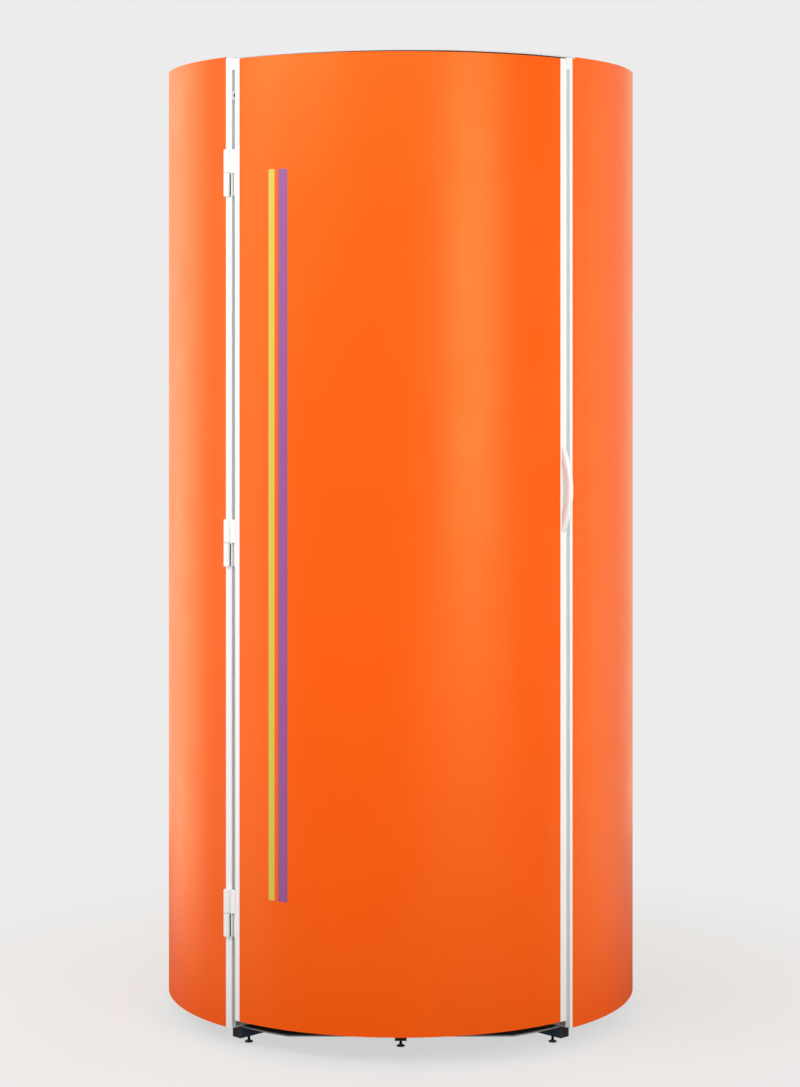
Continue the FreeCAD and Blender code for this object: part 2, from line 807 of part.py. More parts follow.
def build_reflectors_and_shields():
    """Reflector sheets behind the lamps, clear shields in front, and the strip that joins them."""
    inner, outer = "reflector_radius", "reflector_radius + reflector_sheet"
    edge = "reflector_edge_angle"
    height = "upper_deck_bottom - lower_deck_top"
    body_half = f"180 - opening_half_angle - {edge}"
    sector_sheet("body_reflector", inner, outer, body_half, "lower_deck_top", height, "180")
    sector_sheet("door_reflector", inner, outer, f"door_half_angle - {edge}", "lower_deck_top", height, "0")

    inner, outer = "shield_radius", "shield_radius + shield_sheet"
    start, end = "opening_half_angle + shield_edge_angle", "180 - shield_seam_angle"
    for label, side in (("right_shield", ""), ("left_shield", "-")):
        middle = f"{side}({start} + {end}) / 2"
        half = f"({end} - ({start})) / 2"
        sector_sheet(label, inner, outer, half, "base_top + channel_sheet", "shield_height", middle)
    door_half = "door_half_angle - shield_edge_angle"
    door_height = "shield_height - door_bottom_gap"
    sector_sheet("door_shield", inner, outer, door_half, "door_bottom + channel_sheet", door_height, "0")

    joiner = new_body("shield_joiner")
    strip = new_sketch(joiner, "outline")
    half = "joiner_width / 2"
    draw_rectangle(strip, "joiner_face - joiner_sheet", f"-{half}", "joiner_face", half)
    pad(joiner, strip, "shield_height", "strip")
    place(joiner, z="base_top + channel_sheet", azimuth="180")


# ---------------------------------------------------------------------------------------------------------
# Ceiling, roof and fan
# ---------------------------------------------------------------------------------------------------------


def slot_rows(body, sheet):
    """Parallel air slots over the fan opening."""
    slot = new_sketch(body, "slot_outline")
    middle = "(grille_slot_count - 1) / 2 * grille_slot_pitch"
    reach = "fan_opening_half - grille_rim"
    bottom, top = f"-{middle} - grille_slot_width / 2", f"-{middle} + grille_slot_width / 2"
    draw_rectangle(slot, f"-({reach})", bottom, reach, top)
    hole = pocket(body, slot, sheet, "slot", reverse=True)
    row_pattern(body, [hole], "grille_slot_count", "grille_slot_pitch", "slots", axis="Y_Axis")


def square(body, name, half, lift="0"):
    """A square outline about the axis."""
    sketch = new_sketch(body, name, lift=lift)
    draw_rectangle(sketch, f"-({half})", f"-({half})", half, half)
    return sketch


def build_roof():
    """Cabin ceiling, roof plate with the fan opening, and the grille over it."""
    radius = "cabin_radius - ceiling_clearance"
    ceiling = disc("cabin_ceiling", radius, "ceiling_bottom", "ceiling_sheet", INNER_DISC_SIDES)
    slot_rows(ceiling, "ceiling_sheet")
    roof = disc("roof_panel", "panel_inner_radius - roof_clearance", "roof_bottom", "roof_sheet")
    pocket(roof, square(roof, "opening", "fan_opening_half"), "roof_sheet", "fan_opening", reverse=True)
    grille = new_body("roof_grille")
    pad(grille, square(grille, "outline", "fan_opening_half + grille_rim"), "grille_sheet", "plate")
    slot_rows(grille, "grille_sheet")
    place(grille, z="panel_top")


def build_fan():
    """Exhaust fan between ceiling and roof: duct, bracket, motor and rotor."""
    level = "ceiling_bottom + ceiling_sheet"
    height = "plenum_height - ceiling_sheet"
    duct = new_body("fan_duct")
    pad(duct, square(duct, "outline", "fan_opening_half + duct_wall"), height, "walls")
    pocket(duct, square(duct, "bore_outline", "fan_opening_half"), height, "bore", reverse=True)
    place(duct, z=level)

    bracket = new_body("fan_bracket")
    for axis, azimuth in (("along", "0"), ("across", "90")):
        bar = new_sketch(bracket, f"{axis}_outline")
        draw_bar(bar, azimuth, "-fan_opening_half", "fan_opening_half", "motor_bracket_width / 2")
        pad(bracket, bar, "motor_bracket_sheet", axis)
    place(bracket, z=f"{level} + motor_drop")

    motor = disc("fan_motor", "motor_radius", "motor_base", "motor_height", MOTOR_SIDES)
    shaft = new_sketch(motor, "shaft_outline", lift="motor_height")
    draw_circle(shaft, "shaft_radius")
    pad(motor, shaft, "rotor_lift + rotor_height", "shaft")

    rotor = new_body("fan_rotor")
    hub = new_sketch(rotor, "hub_outline")
    draw_flats(hub, HUB_SIDES, "rotor_hub_radius")
    pad(rotor, hub, "rotor_height", "hub")
    blade_outline = new_sketch(rotor, "blade_outline", lift="rotor_height / 2")
    blade_outline.AttachmentOffset.Rotation = Rotation(Vector(1, 0, 0), 1)
    blade_outline.setExpression("AttachmentOffset.Rotation.Angle", formula("blade_angle * 1 deg"))
    root, tip = "rotor_hub_radius * 0.75", "rotor_tip_radius"
    root_half, tip_half = "blade_root_chord / 2", "blade_tip_chord / 2"
    corners = [(root, f"-{root_half}"), (tip, f"-{tip_half}"), (tip, tip_half), (root, root_half)]
    draw_polygon(blade_outline, corners)
    blade = pad(rotor, blade_outline, "blade_thickness", "blade", symmetric=True)
    ring_pattern(rotor, [blade], "blade_count", "blades")
    bore = new_sketch(rotor, "bore_outline")
    draw_circle(bore, "shaft_radius + shaft_clearance")
    pocket(rotor, bore, "rotor_height", "bore", reverse=True)
    place(rotor, z="motor_base + motor_height + rotor_lift")


# ---------------------------------------------------------------------------------------------------------
# Electrics and controls
# ---------------------------------------------------------------------------------------------------------


def build_electrics():
    """Tray behind the rear reflector with two rows of ballasts and the switchgear, and the cable gland."""
    outer = "tray_radius + tray_sheet"
    sector_sheet(
        "ballast_tray", "tray_radius", outer, "tray_half_angle", "lower_deck_top", "tray_height", "180"
    )
    ballasts = new_body("ballasts")
    rows = []
    for name, level in (("lower", "0"), ("upper", "ballast_height + ballast_row_gap")):
        rows.append(tray_box(ballasts, name, level, "ballast_width", "ballast_depth", "ballast_height"))
    ring_pattern(ballasts, rows, "ballast_columns", "columns", pitch="ballast_step_angle")
    place(
        ballasts,
        z="lower_deck_top + ballast_row_gap",
        azimuth="180 - (ballast_columns - 1) / 2 * ballast_step_angle",
    )
    box = new_body("switchgear_box")
    level = "2 * (ballast_height + ballast_row_gap)"
    tray_box(box, "case", level, "switchgear_width", "switchgear_depth", "switchgear_height")
    place(box, z="lower_deck_top + ballast_row_gap", azimuth="180")

    gland = new_body("cable_gland")
    for name, start, length in (("cap", "-gland_reach", "gland_reach"), ("nut", "base_sheet", "gland_nut")):
        outline = new_sketch(gland, f"{name}_outline", lift=start)
        draw_flats(outline, 6, "gland_half_width / cos(30)", "gland_ring_radius", turn=30)
        pad(gland, outline, length, name)
    thread = new_sketch(gland, "thread_outline")
    draw_flats(thread, THREAD_SIDES, "gland_thread_radius - gland_play", "gland_ring_radius")
    pad(gland, thread, "base_sheet", "thread")
    bore = new_sketch(gland, "bore_outline", lift="-gland_reach")
    draw_circle(bore, "gland_bore_radius", "gland_ring_radius")
    pocket(gland, bore, "gland_reach + base_sheet + gland_nut", "bore", reverse=True)
    place(gland, z="arm_top", azimuth="gland_azimuth")


def tray_box(body, name, level, width, depth, height):
    """A box whose back edges rest against the inside of the round tray."""
    back = f"sqrt(tray_radius ^ 2 - ({width} / 2) ^ 2) - tray_air"
    outline = new_sketch(body, f"{name}_outline", lift=level)
    draw_rectangle(outline, f"{back} - {depth}", f"-{width} / 2", back, f"{width} / 2")
    return pad(body, outline, height, name)


def build_controls():
    """Control box on the shield joint, facing the user, with a start and a stop button."""
    face = "joiner_face - joiner_sheet - control_depth"
    box = new_body("control_box")
    outline = new_sketch(box, "outline")
    half = "control_width / 2"
    draw_rectangle(outline, face, f"-{half}", "joiner_face - joiner_sheet", half)
    pad(box, outline, "control_height", "case")
    wells = new_sketch(box, "well_outline", "YZ_Plane", face)
    for side in ("-", ""):
        level = f"control_height / 2 + {side}button_spread / 2"
        play = "button_half + button_clearance"
        draw_rectangle(wells, f"-({play})", f"{level} - ({play})", play, f"{level} + {play}")
    pocket(box, wells, "button_well_depth", "wells", reverse=True)
    place(box, z="control_centre - control_height / 2", azimuth="180")

    for label, side in (("start_button", ""), ("stop_button", "-")):
        button = new_body(label)
        cap = new_sketch(button, "outline", "YZ_Plane", f"{face} - button_proud")
        draw_rectangle(cap, "-button_half", "-button_half", "button_half", "button_half")
        pad(button, cap, "button_length", "cap")
        place(button, z=f"control_centre + {side}button_spread / 2", azimuth="180")


def build_grab_handles():
    """Two flat-bar loops under the ceiling for the user's hands."""
    loops = new_body("grab_handles")
    outer, inner = "grab_span / 2", "grab_span / 2 - grab_thickness"
    inner_corner = "grab_corner - grab_thickness * tan(22.5)"
    corners = [
        (f"-({outer})", "0"),
        (f"-({outer})", "-(grab_drop - grab_corner)"),
        (f"-({outer} - grab_corner)", "-grab_drop"),
        (f"{outer} - grab_corner", "-grab_drop"),
        (outer, "-(grab_drop - grab_corner)"),
        (outer, "0"),
        (inner, "0"),
        (inner, f"-(grab_drop - grab_thickness - ({inner_corner}))"),
        (f"{inner} - ({inner_corner})", "-(grab_drop - grab_thickness)"),
        (f"-({inner} - ({inner_corner}))", "-(grab_drop - grab_thickness)"),
        (f"-({inner})", f"-(grab_drop - grab_thickness - ({inner_corner}))"),
        (f"-({inner})", "0"),
    ]
    for name, side in (("right", ""), ("left", "-")):
        outline = new_sketch(loops, f"{name}_outline", "YZ_Plane", f"{side}grab_offset")
        draw_polygon(outline, corners)
        pad(loops, outline, "grab_width", name, symmetric=True)
    place(loops, z="ceiling_bottom")


# ---------------------------------------------------------------------------------------------------------
# Hinges, handle and catches
# ---------------------------------------------------------------------------------------------------------


def hinge_half(label, azimuth, side, knuckle_level):
    """Hinge halves in a row: a leaf in the door gap, an arm round the corner and a knuckle."""
    body = new_body(label)
    thickness = f"{side}leaf_sheet"
    aside = f"-hinge_axis_radius * sin(hinge_axis_angle - {azimuth})"
    along = f"hinge_axis_radius * cos(hinge_axis_angle - {azimuth})"
    leaf_outline = new_sketch(body, "leaf_outline")
    draw_rectangle(leaf_outline, "shell_radius - leaf_depth", "0", "shell_radius", thickness)
    leaf = pad(body, leaf_outline, "hinge_height", "leaf")
    arm_outline = new_sketch(body, "arm_outline", lift=knuckle_level)
    low, high = "shell_radius + knuckle_rise", "shell_radius + knuckle_rise + leaf_sheet"
    near, far = ("0", thickness) if side else (thickness, "0")
    corners = [
        ("shell_radius - knuckle_rise", near),
        (high, near),
        (high, aside),
        (low, aside),
        (low, far),
        ("shell_radius - knuckle_rise", far),
    ]
    draw_polygon(arm_outline, corners)
    arm = pad(body, arm_outline, "knuckle_length", "arm")
    knuckle_outline = new_sketch(body, "knuckle_outline", lift=knuckle_level)
    draw_flats(knuckle_outline, KNUCKLE_SIDES, "knuckle_radius", along, aside)
    knuckle = pad(body, knuckle_outline, "knuckle_length", "knuckle")
    return body, [leaf, arm, knuckle], (along, aside)


def build_hinges():
    """Lift-off hinges: a post half with its pin, and a door half that drops onto the pin."""
    post, features, axis = hinge_half("hinge_post_halves", "opening_half_angle", "", "0")
    pin = new_sketch(post, "pin_outline", lift="knuckle_length")
    draw_circle(pin, "hinge_pin_radius", *axis)
    features.append(pad(post, pin, "knuckle_length - 2 * knuckle_cap", "pin"))
    row_pattern(post, features, "hinge_count", "hinge_pitch", "row")
    place(post, z="hinge_bottom", azimuth="-opening_half_angle")

    level = "knuckle_length + hinge_play"
    door, features, axis = hinge_half("hinge_door_halves", "door_half_angle", "-", level)
    bore = new_sketch(door, "bore_outline", lift=level)
    draw_circle(bore, "hinge_pin_radius + hinge_pin_clearance", *axis)
    features.append(pocket(door, bore, "knuckle_length - knuckle_cap", "bore", reverse=True))
    row_pattern(door, features, "hinge_count", "hinge_pitch", "row")
    place(door, z="hinge_bottom", azimuth="-door_half_angle")


def build_handle():
    """A bow handle on the door's right edge."""
    handle = new_body("door_handle")
    outline = new_sketch(handle, "outline", "XZ_Plane")
    foot = "(handle_length - handle_hole_length) / 2"
    wall, length = document.Levels.shell_radius, SIZES["handle_length"]
    first_foot = (length - SIZES["handle_hole_length"]) / 2
    lines = []
    for start, end, low in (("0", foot, 0), (f"handle_length - {foot}", "handle_length", length - first_foot)):
        segment = Part.LineSegment(Vector(wall, low, 0), Vector(wall, low + first_foot, 0))
        line = outline.addGeometry(segment, False)
        pin_point(outline, line, 1, "shell_radius", start)
        pin_point(outline, line, 2, "shell_radius", end)
        lines.append(line)
    for ends, chord, reach in (
        (((lines[0], 1), (lines[1], 2)), "handle_length", "handle_reach"),
        (((lines[0], 2), (lines[1], 1)), "handle_hole_length", "handle_hole_reach"),
    ):
        first_radius = length * 0.7
        circle = Part.Circle(Vector(wall - first_radius, length / 2, 0), Vector(0, 0, 1), first_radius)
        arc = outline.addGeometry(Part.ArcOfCircle(circle, -0.6, 0.6), False)
        for vertex, (line, corner) in enumerate(ends, start=1):
            outline.addConstraint(Sketcher.Constraint("Coincident", arc, vertex, line, corner))
        radius = outline.addConstraint(Sketcher.Constraint("Radius", arc, first_radius))
        rise = f"(({chord}) ^ 2 / 4 + {reach} ^ 2) / 2 / {reach}"
        outline.setExpression(f"Constraints[{radius}]", formula(rise))
    bow = pad(handle, outline, "handle_width", "bow", symmetric=True)
    document.recompute()
    rims = [
        f"Edge{number}"
        for number, edge in enumerate(bow.Shape.Edges, start=1)
        if isinstance(edge.Curve, Part.Circle) and edge.BoundBox.YLength < 1e-6
    ]
    bevel = handle.newObject("PartDesign::Chamfer", "door_handle_bevel")
    bevel.Base = (bow, rims)
    bevel.setExpression("Size", formula("handle_chamfer"))
    handle.Tip = bevel
    place(handle, z="handle_bottom", azimuth="door_half_angle - face_angle / 2")


def build_catches():
    """Magnetic catches and their plates, the door seals and the door switch."""
    inner = "shell_radius - catch_inset - catch_depth / 2"
    outer = "shell_radius - catch_inset + catch_depth / 2"
    magnet = f"door_gap * ({inner}) / shell_radius - catch_plate_sheet - catch_air"
    for label, azimuth, face in (
        ("catch_magnets", "opening_half_angle", f"-({magnet})"),
        ("catch_plates", "door_half_angle", "catch_plate_sheet"),
    ):
        body = new_body(label)
        for name, level in (
            ("lower", "catch_offset"),
            ("upper", "door_height - catch_offset - catch_height"),
        ):
            outline = new_sketch(body, f"{name}_outline", lift=level)
            draw_rectangle(outline, inner, "0", outer, face)
            pad(body, outline, "catch_height", name)
        place(body, z="door_bottom", azimuth=azimuth)

    seals = new_body("door_seals")
    outline = new_sketch(seals, "outline")
    near, far = "cabin_radius + edge_wall", "cabin_radius + edge_wall + seal_depth"
    corners = ((near, "0"), (far, "0"), (far, "-seal_thickness"), (near, "-seal_thickness"))
    draw_polygon(outline, [turned(along, aside, "opening_half_angle") for along, aside in corners])
    strip = pad(seals, outline, "door_height", "strip")
    mirror = seals.newObject("PartDesign::Mirrored", "door_seals_pair")
    mirror.Originals = [strip]
    mirror.MirrorPlane = (origin_feature(seals, "XZ_Plane"), [""])
    seals.Tip = mirror
    place(seals, z="door_bottom", azimuth="0")

    switch = new_body("door_switch")
    outline = new_sketch(switch, "outline")
    draw_rectangle(outline, "shell_radius - switch_depth", "0", "shell_radius - edge_wall", "switch_reach")
    pad(switch, outline, "switch_height", "case")
    place(switch, z="panel_top - switch_drop - switch_height", azimuth="-opening_half_angle")


# ---------------------------------------------------------------------------------------------------------
# Output
# ---------------------------------------------------------------------------------------------------------


def export_all():
    """Check every object and write each sub-part's solids to its own file."""
    document.recompute()
    for item in document.Objects:
        if {"Invalid", "Error"} & set(item.State):
            raise RuntimeError(f"{item.Name} did not compute")
    for body in parts:
        if body.Shape.isNull() or not body.Shape.isValid() or not body.Shape.Solids:
            raise RuntimeError(f"{body.Label} has no valid solid")
    os.makedirs("parts", exist_ok=True)
    for body in parts:
        body.Shape.exportStep(os.path.join("parts", body.Label + ".step"))
    print(f"{len(parts)} sub-parts, {sum(len(body.Shape.Solids) for body in parts)} solids")


parts = []
document = FreeCAD.newDocument("TanningBooth")
fill_sheet("Sizes", {name: str(value) for name, value in SIZES.items()})
fill_sheet("Levels", {name: "=" + formula(text, inside_levels=True) for name, text in LEVELS.items()})
main()
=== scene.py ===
"""Vertical tanning booth: the dressed model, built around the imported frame."""

import logging
import math
from dataclasses import dataclass
from enum import Enum
from typing import Callable, Iterable, Sequence

import bmesh
import bpy
from mathutils import Matrix, Vector


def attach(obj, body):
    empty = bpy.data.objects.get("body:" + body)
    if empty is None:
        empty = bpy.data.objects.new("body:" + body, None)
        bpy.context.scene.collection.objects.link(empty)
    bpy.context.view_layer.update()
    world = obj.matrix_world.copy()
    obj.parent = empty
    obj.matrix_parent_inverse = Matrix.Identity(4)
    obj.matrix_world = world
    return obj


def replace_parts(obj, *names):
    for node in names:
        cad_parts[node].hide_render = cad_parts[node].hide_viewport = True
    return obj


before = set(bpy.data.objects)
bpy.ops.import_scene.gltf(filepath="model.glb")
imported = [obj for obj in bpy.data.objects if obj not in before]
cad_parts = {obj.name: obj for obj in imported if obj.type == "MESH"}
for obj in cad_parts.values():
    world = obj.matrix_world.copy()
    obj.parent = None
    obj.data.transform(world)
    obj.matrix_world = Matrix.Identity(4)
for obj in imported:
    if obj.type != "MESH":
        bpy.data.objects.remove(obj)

log = logging.getLogger("booth")

MM = 0.001
SMOOTH_BELOW = 32.0  # edges that turn less than this, in degrees, are shaded smooth
PATCHES = 9.0  # patches of uneven colour in a metre, so that each is about a hand wide
MIDDLE_TONES = {"From Min": 0.3, "From Max": 0.7}  # nearly all of a noise lies between these
UPRIGHT = Matrix.Identity(4)  # the cabin's own placement, on the floor at its axis

# Sizes that several sub-assemblies share, in millimetres and degrees.
SHELL_RADIUS = 525.0
POST_AZIMUTH = 43.1
HINGE_BOTTOMS = (239.0, 1023.0, 1807.0)
HINGE_HEIGHT = 100.0
CONTROL_CENTRE = 1250.0
SHIELD_JOINT = 399.4

Point = tuple[float, float, float]
Pair = tuple[float, float]
Socket = bpy.types.NodeSocket


class Side(Enum):
    """The side of the doorway, or the way along a growing azimuth."""

    LEFT = -1
    RIGHT = 1


class Body(Enum):
    """The bodies that a piece can move with."""

    CABIN = "cabin"
    DOOR = "door"
    FAN = "fan_rotor"
    START = "start_button"
    STOP = "stop_button"
    FOOT_FRONT = "foot_front"
    FOOT_RIGHT_FRONT = "foot_right_front"
    FOOT_RIGHT_REAR = "foot_right_rear"
    FOOT_REAR = "foot_rear"
    FOOT_LEFT_REAR = "foot_left_rear"
    FOOT_LEFT_FRONT = "foot_left_front"


# ---- Colours and shader nodes ----


def linear(code: str) -> tuple[float, float, float, float]:
    """Turn an sRGB hex colour into linear values.

    Args:
        code: Six hex digits after a hash sign.

    Returns:
        Red, green, blue and an alpha of one.
    """
    parts = [int(code[i : i + 2], 16) / 255 for i in (1, 3, 5)]
    steps = [c / 12.92 if c <= 0.04045 else ((c + 0.055) / 1.055) ** 2.4 for c in parts]
    return (steps[0], steps[1], steps[2], 1.0)


def adjust(node: bpy.types.Node, settings: dict[str | int, object]) -> None:
    """Set a node's sockets or its own properties.

    Args:
        node: The node.
        settings: Socket names or numbers, or the node's own properties, and their values.
    """
    for key, value in settings.items():
        if isinstance(key, int) or key in node.inputs:
            node.inputs[key].default_value = value
        else:
            setattr(node, key, value)


def add_node(
    tree: bpy.types.NodeTree,
    kind: str,
    settings: dict[str | int, object] | None = None,
    links: dict[str | int, Socket] | None = None,
) -> bpy.types.Node:
    """Add a node with its settings and links.

    Args:
        tree: The node tree that gets the node.
        kind: The node's type.
        settings: As in adjust.
        links: Socket names or numbers and the output that feeds each.

    Returns:
        The new node.
    """
    node = tree.nodes.new(kind)
    adjust(node, settings or {})
    for key, source in (links or {}).items():
        tree.links.new(source, node.inputs[key])
    return node


# ---- Finishes ----


@dataclass(frozen=True)
class Surface:
    """What a finish works on: a material's nodes, its shader and the place on the object, in metres."""

    tree: bpy.types.NodeTree
    shader: bpy.types.Node
    place: Socket


@dataclass(frozen=True)
class Finish:
    """A surface: its common name, colour and gloss. Subclasses add what the process leaves on it."""

    name: str
    colour: str
    roughness: float
    grain_mm: float = 1.0
    relief_mm: float = 0.02
    mottle: float = 0.06

    def material(self) -> bpy.types.Material:
        """Give the finish's material, which is made the first time that it is asked for.

        Returns:
            The material.
        """
        known = bpy.data.materials.get(self.name)
        if known:
            return known
        made = bpy.data.materials.new(self.name)
        made.use_nodes = True
        made.diffuse_color = linear(self.colour)
        tree = made.node_tree
        shader = tree.nodes["Principled BSDF"]
        adjust(shader, {"Roughness": self.roughness})
        self.shade(Surface(tree, shader, add_node(tree, "ShaderNodeTexCoord").outputs["Object"]))
        return made

    def shade(self, on: Surface) -> None:
        """Give the surface an uneven colour and its grain."""
        self.uneven(on)
        self.grain(on, on.place)

    def uneven(self, on: Surface) -> None:
        """Let colour and gloss wander a little, as coats and mouldings do over a hand's width.

        Args:
            on: The surface.
        """
        look = {"Scale": PATCHES, "Detail": 3.0, "Roughness": 0.6}
        clouds = add_node(on.tree, "ShaderNodeTexNoise", look, {"Vector": on.place}).outputs["Fac"]
        self.vary(on, clouds, MIDDLE_TONES)
        span = {"To Min": max(self.roughness * 0.9, 0.01), "To Max": min(self.roughness * 1.12, 1.0)}
        gloss = add_node(on.tree, "ShaderNodeMapRange", {**MIDDLE_TONES, **span}, {"Value": clouds})
        on.tree.links.new(gloss.outputs["Result"], on.shader.inputs["Roughness"])

    def vary(self, on: Surface, pattern: Socket, tones: dict[str, float]) -> None:
        """Lighten and darken the colour by a pattern.

        Args:
            on: The surface.
            pattern: The pattern's output.
            tones: The pattern's darkest and lightest levels, where they aren't nought and one.
        """
        span = {**tones, "To Min": 1 - self.mottle, "To Max": 1 + self.mottle}
        level = add_node(on.tree, "ShaderNodeMapRange", span, {"Value": pattern}).outputs["Result"]
        tint = add_node(on.tree, "ShaderNodeHueSaturation", {"Color": linear(self.colour)}, {"Value": level})
        on.tree.links.new(tint.outputs["Color"], on.shader.inputs["Base Color"])

    def grain(self, on: Surface, place: Socket) -> None:
        """Raise the fine grain that the process leaves.

        Args:
            on: The surface.
            place: The place on the object, stretched where the grain is.
        """
        look = {"Scale": 1 / (self.grain_mm * MM), "Detail": 2.0}
        fine = add_node(on.tree, "ShaderNodeTexNoise", look, {"Vector": place}).outputs["Fac"]
        relief = {"Strength": 1.0, "Distance": self.relief_mm * MM}
        bump = add_node(on.tree, "ShaderNodeBump", relief, {"Height": fine})
        on.tree.links.new(bump.outputs["Normal"], on.shader.inputs["Normal"])


@dataclass(frozen=True)
class Lacquer(Finish):
    """Stoved gloss lacquer on rolled steel sheet: even colour, soft wide reflections, faint orange peel."""

    ior: float = 1.5
    gloss: float = 0.45
    tint: str = "#ffffff"

    def shade(self, on: Surface) -> None:
        """Add the lacquer's gloss to the common surface."""
        super().shade(on)
        adjust(on.shader, {"IOR": self.ior, "Specular IOR Level": self.gloss, "Specular Tint": linear(self.tint)})


@dataclass(frozen=True)
class Metal(Finish):
    """Bare metal. Rolling lines run along one axis where a stretch is given."""

    stretch: Point = (1.0, 1.0, 1.0)

    def shade(self, on: Surface) -> None:
        """Stretch the grain along the rolling direction.

        Args:
            on: The surface.
        """
        adjust(on.shader, {"Metallic": 1.0})
        drawn = add_node(on.tree, "ShaderNodeMapping", {"Scale": self.stretch}, {"Vector": on.place})
        self.uneven(on)
        self.grain(on, drawn.outputs["Vector"])


@dataclass(frozen=True)
class Galvanised(Finish):
    """Hot-dip galvanised sheet: zinc crystals a few millimetres across, each a little lighter or darker."""

    def uneven(self, on: Surface) -> None:
        """Colour each zinc crystal by itself.

        Args:
            on: The surface.
        """
        adjust(on.shader, {"Metallic": 1.0})
        size = {"Scale": 1 / (self.grain_mm * MM)}
        self.vary(on, add_node(on.tree, "ShaderNodeTexVoronoi", size, {"Vector": on.place}).outputs["Color"], {})


@dataclass(frozen=True)
class Acrylic(Finish):
    """Clear extruded acrylic sheet: nearly invisible face on, with pale glossy edges."""

    ior: float = 1.49

    def shade(self, on: Surface) -> None:
        """Let the light through."""
        super().shade(on)
        adjust(on.shader, {"IOR": self.ior, "Transmission Weight": 1.0})


@dataclass(frozen=True)
class Phosphor(Finish):
    """Fluorescent tube: glass over a white phosphor coat, greyed for a hand's width at each end."""

    low: float = 0.15
    high: float = 1.914
    fade: Pair = (0.075, 0.02)
    greyed: float = 0.75
    grey: str = "#8f9296"
    glass: float = 0.04

    def shade(self, on: Surface) -> None:
        """Grey the coat's ends and put the glass over it.

        Args:
            on: The surface.
        """
        self.grain(on, on.place)
        middle, half = (self.low + self.high) / 2, (self.high - self.low) / 2
        height = add_node(on.tree, "ShaderNodeSeparateXYZ", {}, {"Vector": on.place}).outputs["Z"]
        away = add_node(on.tree, "ShaderNodeMath", {"operation": "SUBTRACT", 1: middle}, {0: height})
        reach = add_node(on.tree, "ShaderNodeMath", {"operation": "ABSOLUTE"}, {0: away.outputs["Value"]})
        span = {"From Min": half - self.fade[0], "From Max": half - self.fade[1], "To Min": 0.0, "To Max": self.greyed}
        ends = add_node(on.tree, "ShaderNodeMapRange", span, {"Value": reach.outputs["Value"]})
        colours = {"data_type": "RGBA", 6: linear(self.colour), 7: linear(self.grey)}
        coat = add_node(on.tree, "ShaderNodeMix", colours, {0: ends.outputs["Result"]})
        on.tree.links.new(coat.outputs[2], on.shader.inputs["Base Color"])
        adjust(on.shader, {"Coat Weight": 1.0, "Coat Roughness": self.glass})


# Sprayed and stoved: an even, deep colour, with wide soft reflections that pale towards the rims.
ORANGE = Lacquer("stoved gloss lacquer, orange", "#fb5904", 0.34, 3.0, 0.01, 0.008, tint="#ffffa0")
# Electrostatic powder, baked: a clean white satin with hardly any texture.
WHITE_COAT = Finish("polyester powder coat, white", "#f4f4f2", 0.35, 1.2, 0.01, 0.01)
# Powder on welded box section: a dark blue-grey satin that takes light only on its side faces.
SLATE_COAT = Finish("polyester powder coat, slate", "#3f4c61", 0.5, 1.0, 0.03, 0.05)
# Powder on plain sheet: a quiet mid grey, half matt.
GREY_COAT = Finish("polyester powder coat, grey", "#8f9194", 0.5, 1.0, 0.03, 0.03)
# The same powder in a lighter grey, so that an edge seen from the front all but goes away.
PALE_COAT = Finish("polyester powder coat, pale grey", "#d2d3d4", 0.5, 1.0, 0.03, 0.03)
# Straight from a textured mould: nearly black, with a dull sheen.
BLACK_ABS = Finish("moulded ABS, black", "#191a1d", 0.5, 0.8, 0.03, 0.05)
# From a polished mould: brighter and glossier than the powder coat beside it.
WHITE_ABS = Finish("moulded ABS, white", "#f0f0ee", 0.28, 2.0, 0.005, 0.01)
# From a textured mould: light grey, half matt, as on electrical boxes.
GREY_ABS = Finish("moulded ABS, light grey", "#b4b6b8", 0.45, 0.8, 0.03, 0.02)
# From a polished mould: a signal red that catches a small highlight.
RED_ABS = Finish("moulded ABS, red", "#b3201a", 0.25, 2.0, 0.005, 0.02)
# From a polished mould: a signal green that catches a small highlight.
GREEN_ABS = Finish("moulded ABS, green", "#1f8a3c", 0.25, 2.0, 0.005, 0.02)
# Pressed in a mould: matt, soft-edged and almost black.
RUBBER = Finish("moulded rubber, black", "#2a2a2b", 0.8, 0.9, 0.06, 0.08)
# Painted shade: a plain mid grey strip, smooth along its length, that stands in for the shadow deep in the gap beside
# the hinges.
GAP_SHADE_GREY = Finish("painted gap shade, grey", "#a4a6a8", 0.5, 1.5, 0.01, 0.02)
# A paler grey: in the gap beside the handle it is painted shade, kept light there; on the switch bezel and the wedge
# over the door it is their own extruded PVC.
PALE_GREY_AND_GAP_SHADE = Finish("extruded PVC and painted gap shade, pale grey", "#c6c8ca", 0.5, 1.5, 0.01, 0.02)
# Filled nylon: a dark grey, a little lighter than the black plastic, with worn-looking dullness.
PAD_PLASTIC = Finish("moulded nylon, dark grey", "#4a4b4e", 0.5, 0.7, 0.03, 0.05)
# Sheet drawn over a mould: charcoal, matt, with a leather-like grain that is drawn coarser to show.
FLOOR_ABS = Finish("thermoformed ABS, charcoal", "#3a3b3d", 0.6, 1.1, 0.08, 0.04)
# Brushed on a casting: black with a slightly uneven gloss.
ENAMEL = Finish("air-dried enamel, black", "#26272a", 0.4, 1.5, 0.02, 0.04)
# Dipped in molten zinc: a bright grey broken up by crystals of several shades.
ZINC = Galvanised("hot-dip galvanised steel", "#b9bdc0", 0.42, 8.0, 0.01, 0.14)
# Rolled between polished rolls: a bright mirror-like sheet with fine lines along the rolling direction.
ROLLED = Metal("bright rolled aluminium", "#d9dcde", 0.2, 1.2, 0.01, 0.03, stretch=(1.0, 1.0, 0.02))
# Plated with zinc: a cool bright grey on screws and catches.
STEEL = Metal("zinc-plated steel", "#c4c7ca", 0.3, 0.8, 0.01, 0.05)
# Oxidised in a hot bath: a dark metal with a low sheen.
BLACK_STEEL = Metal("blackened steel", "#3c3d40", 0.4, 0.8, 0.01, 0.05)
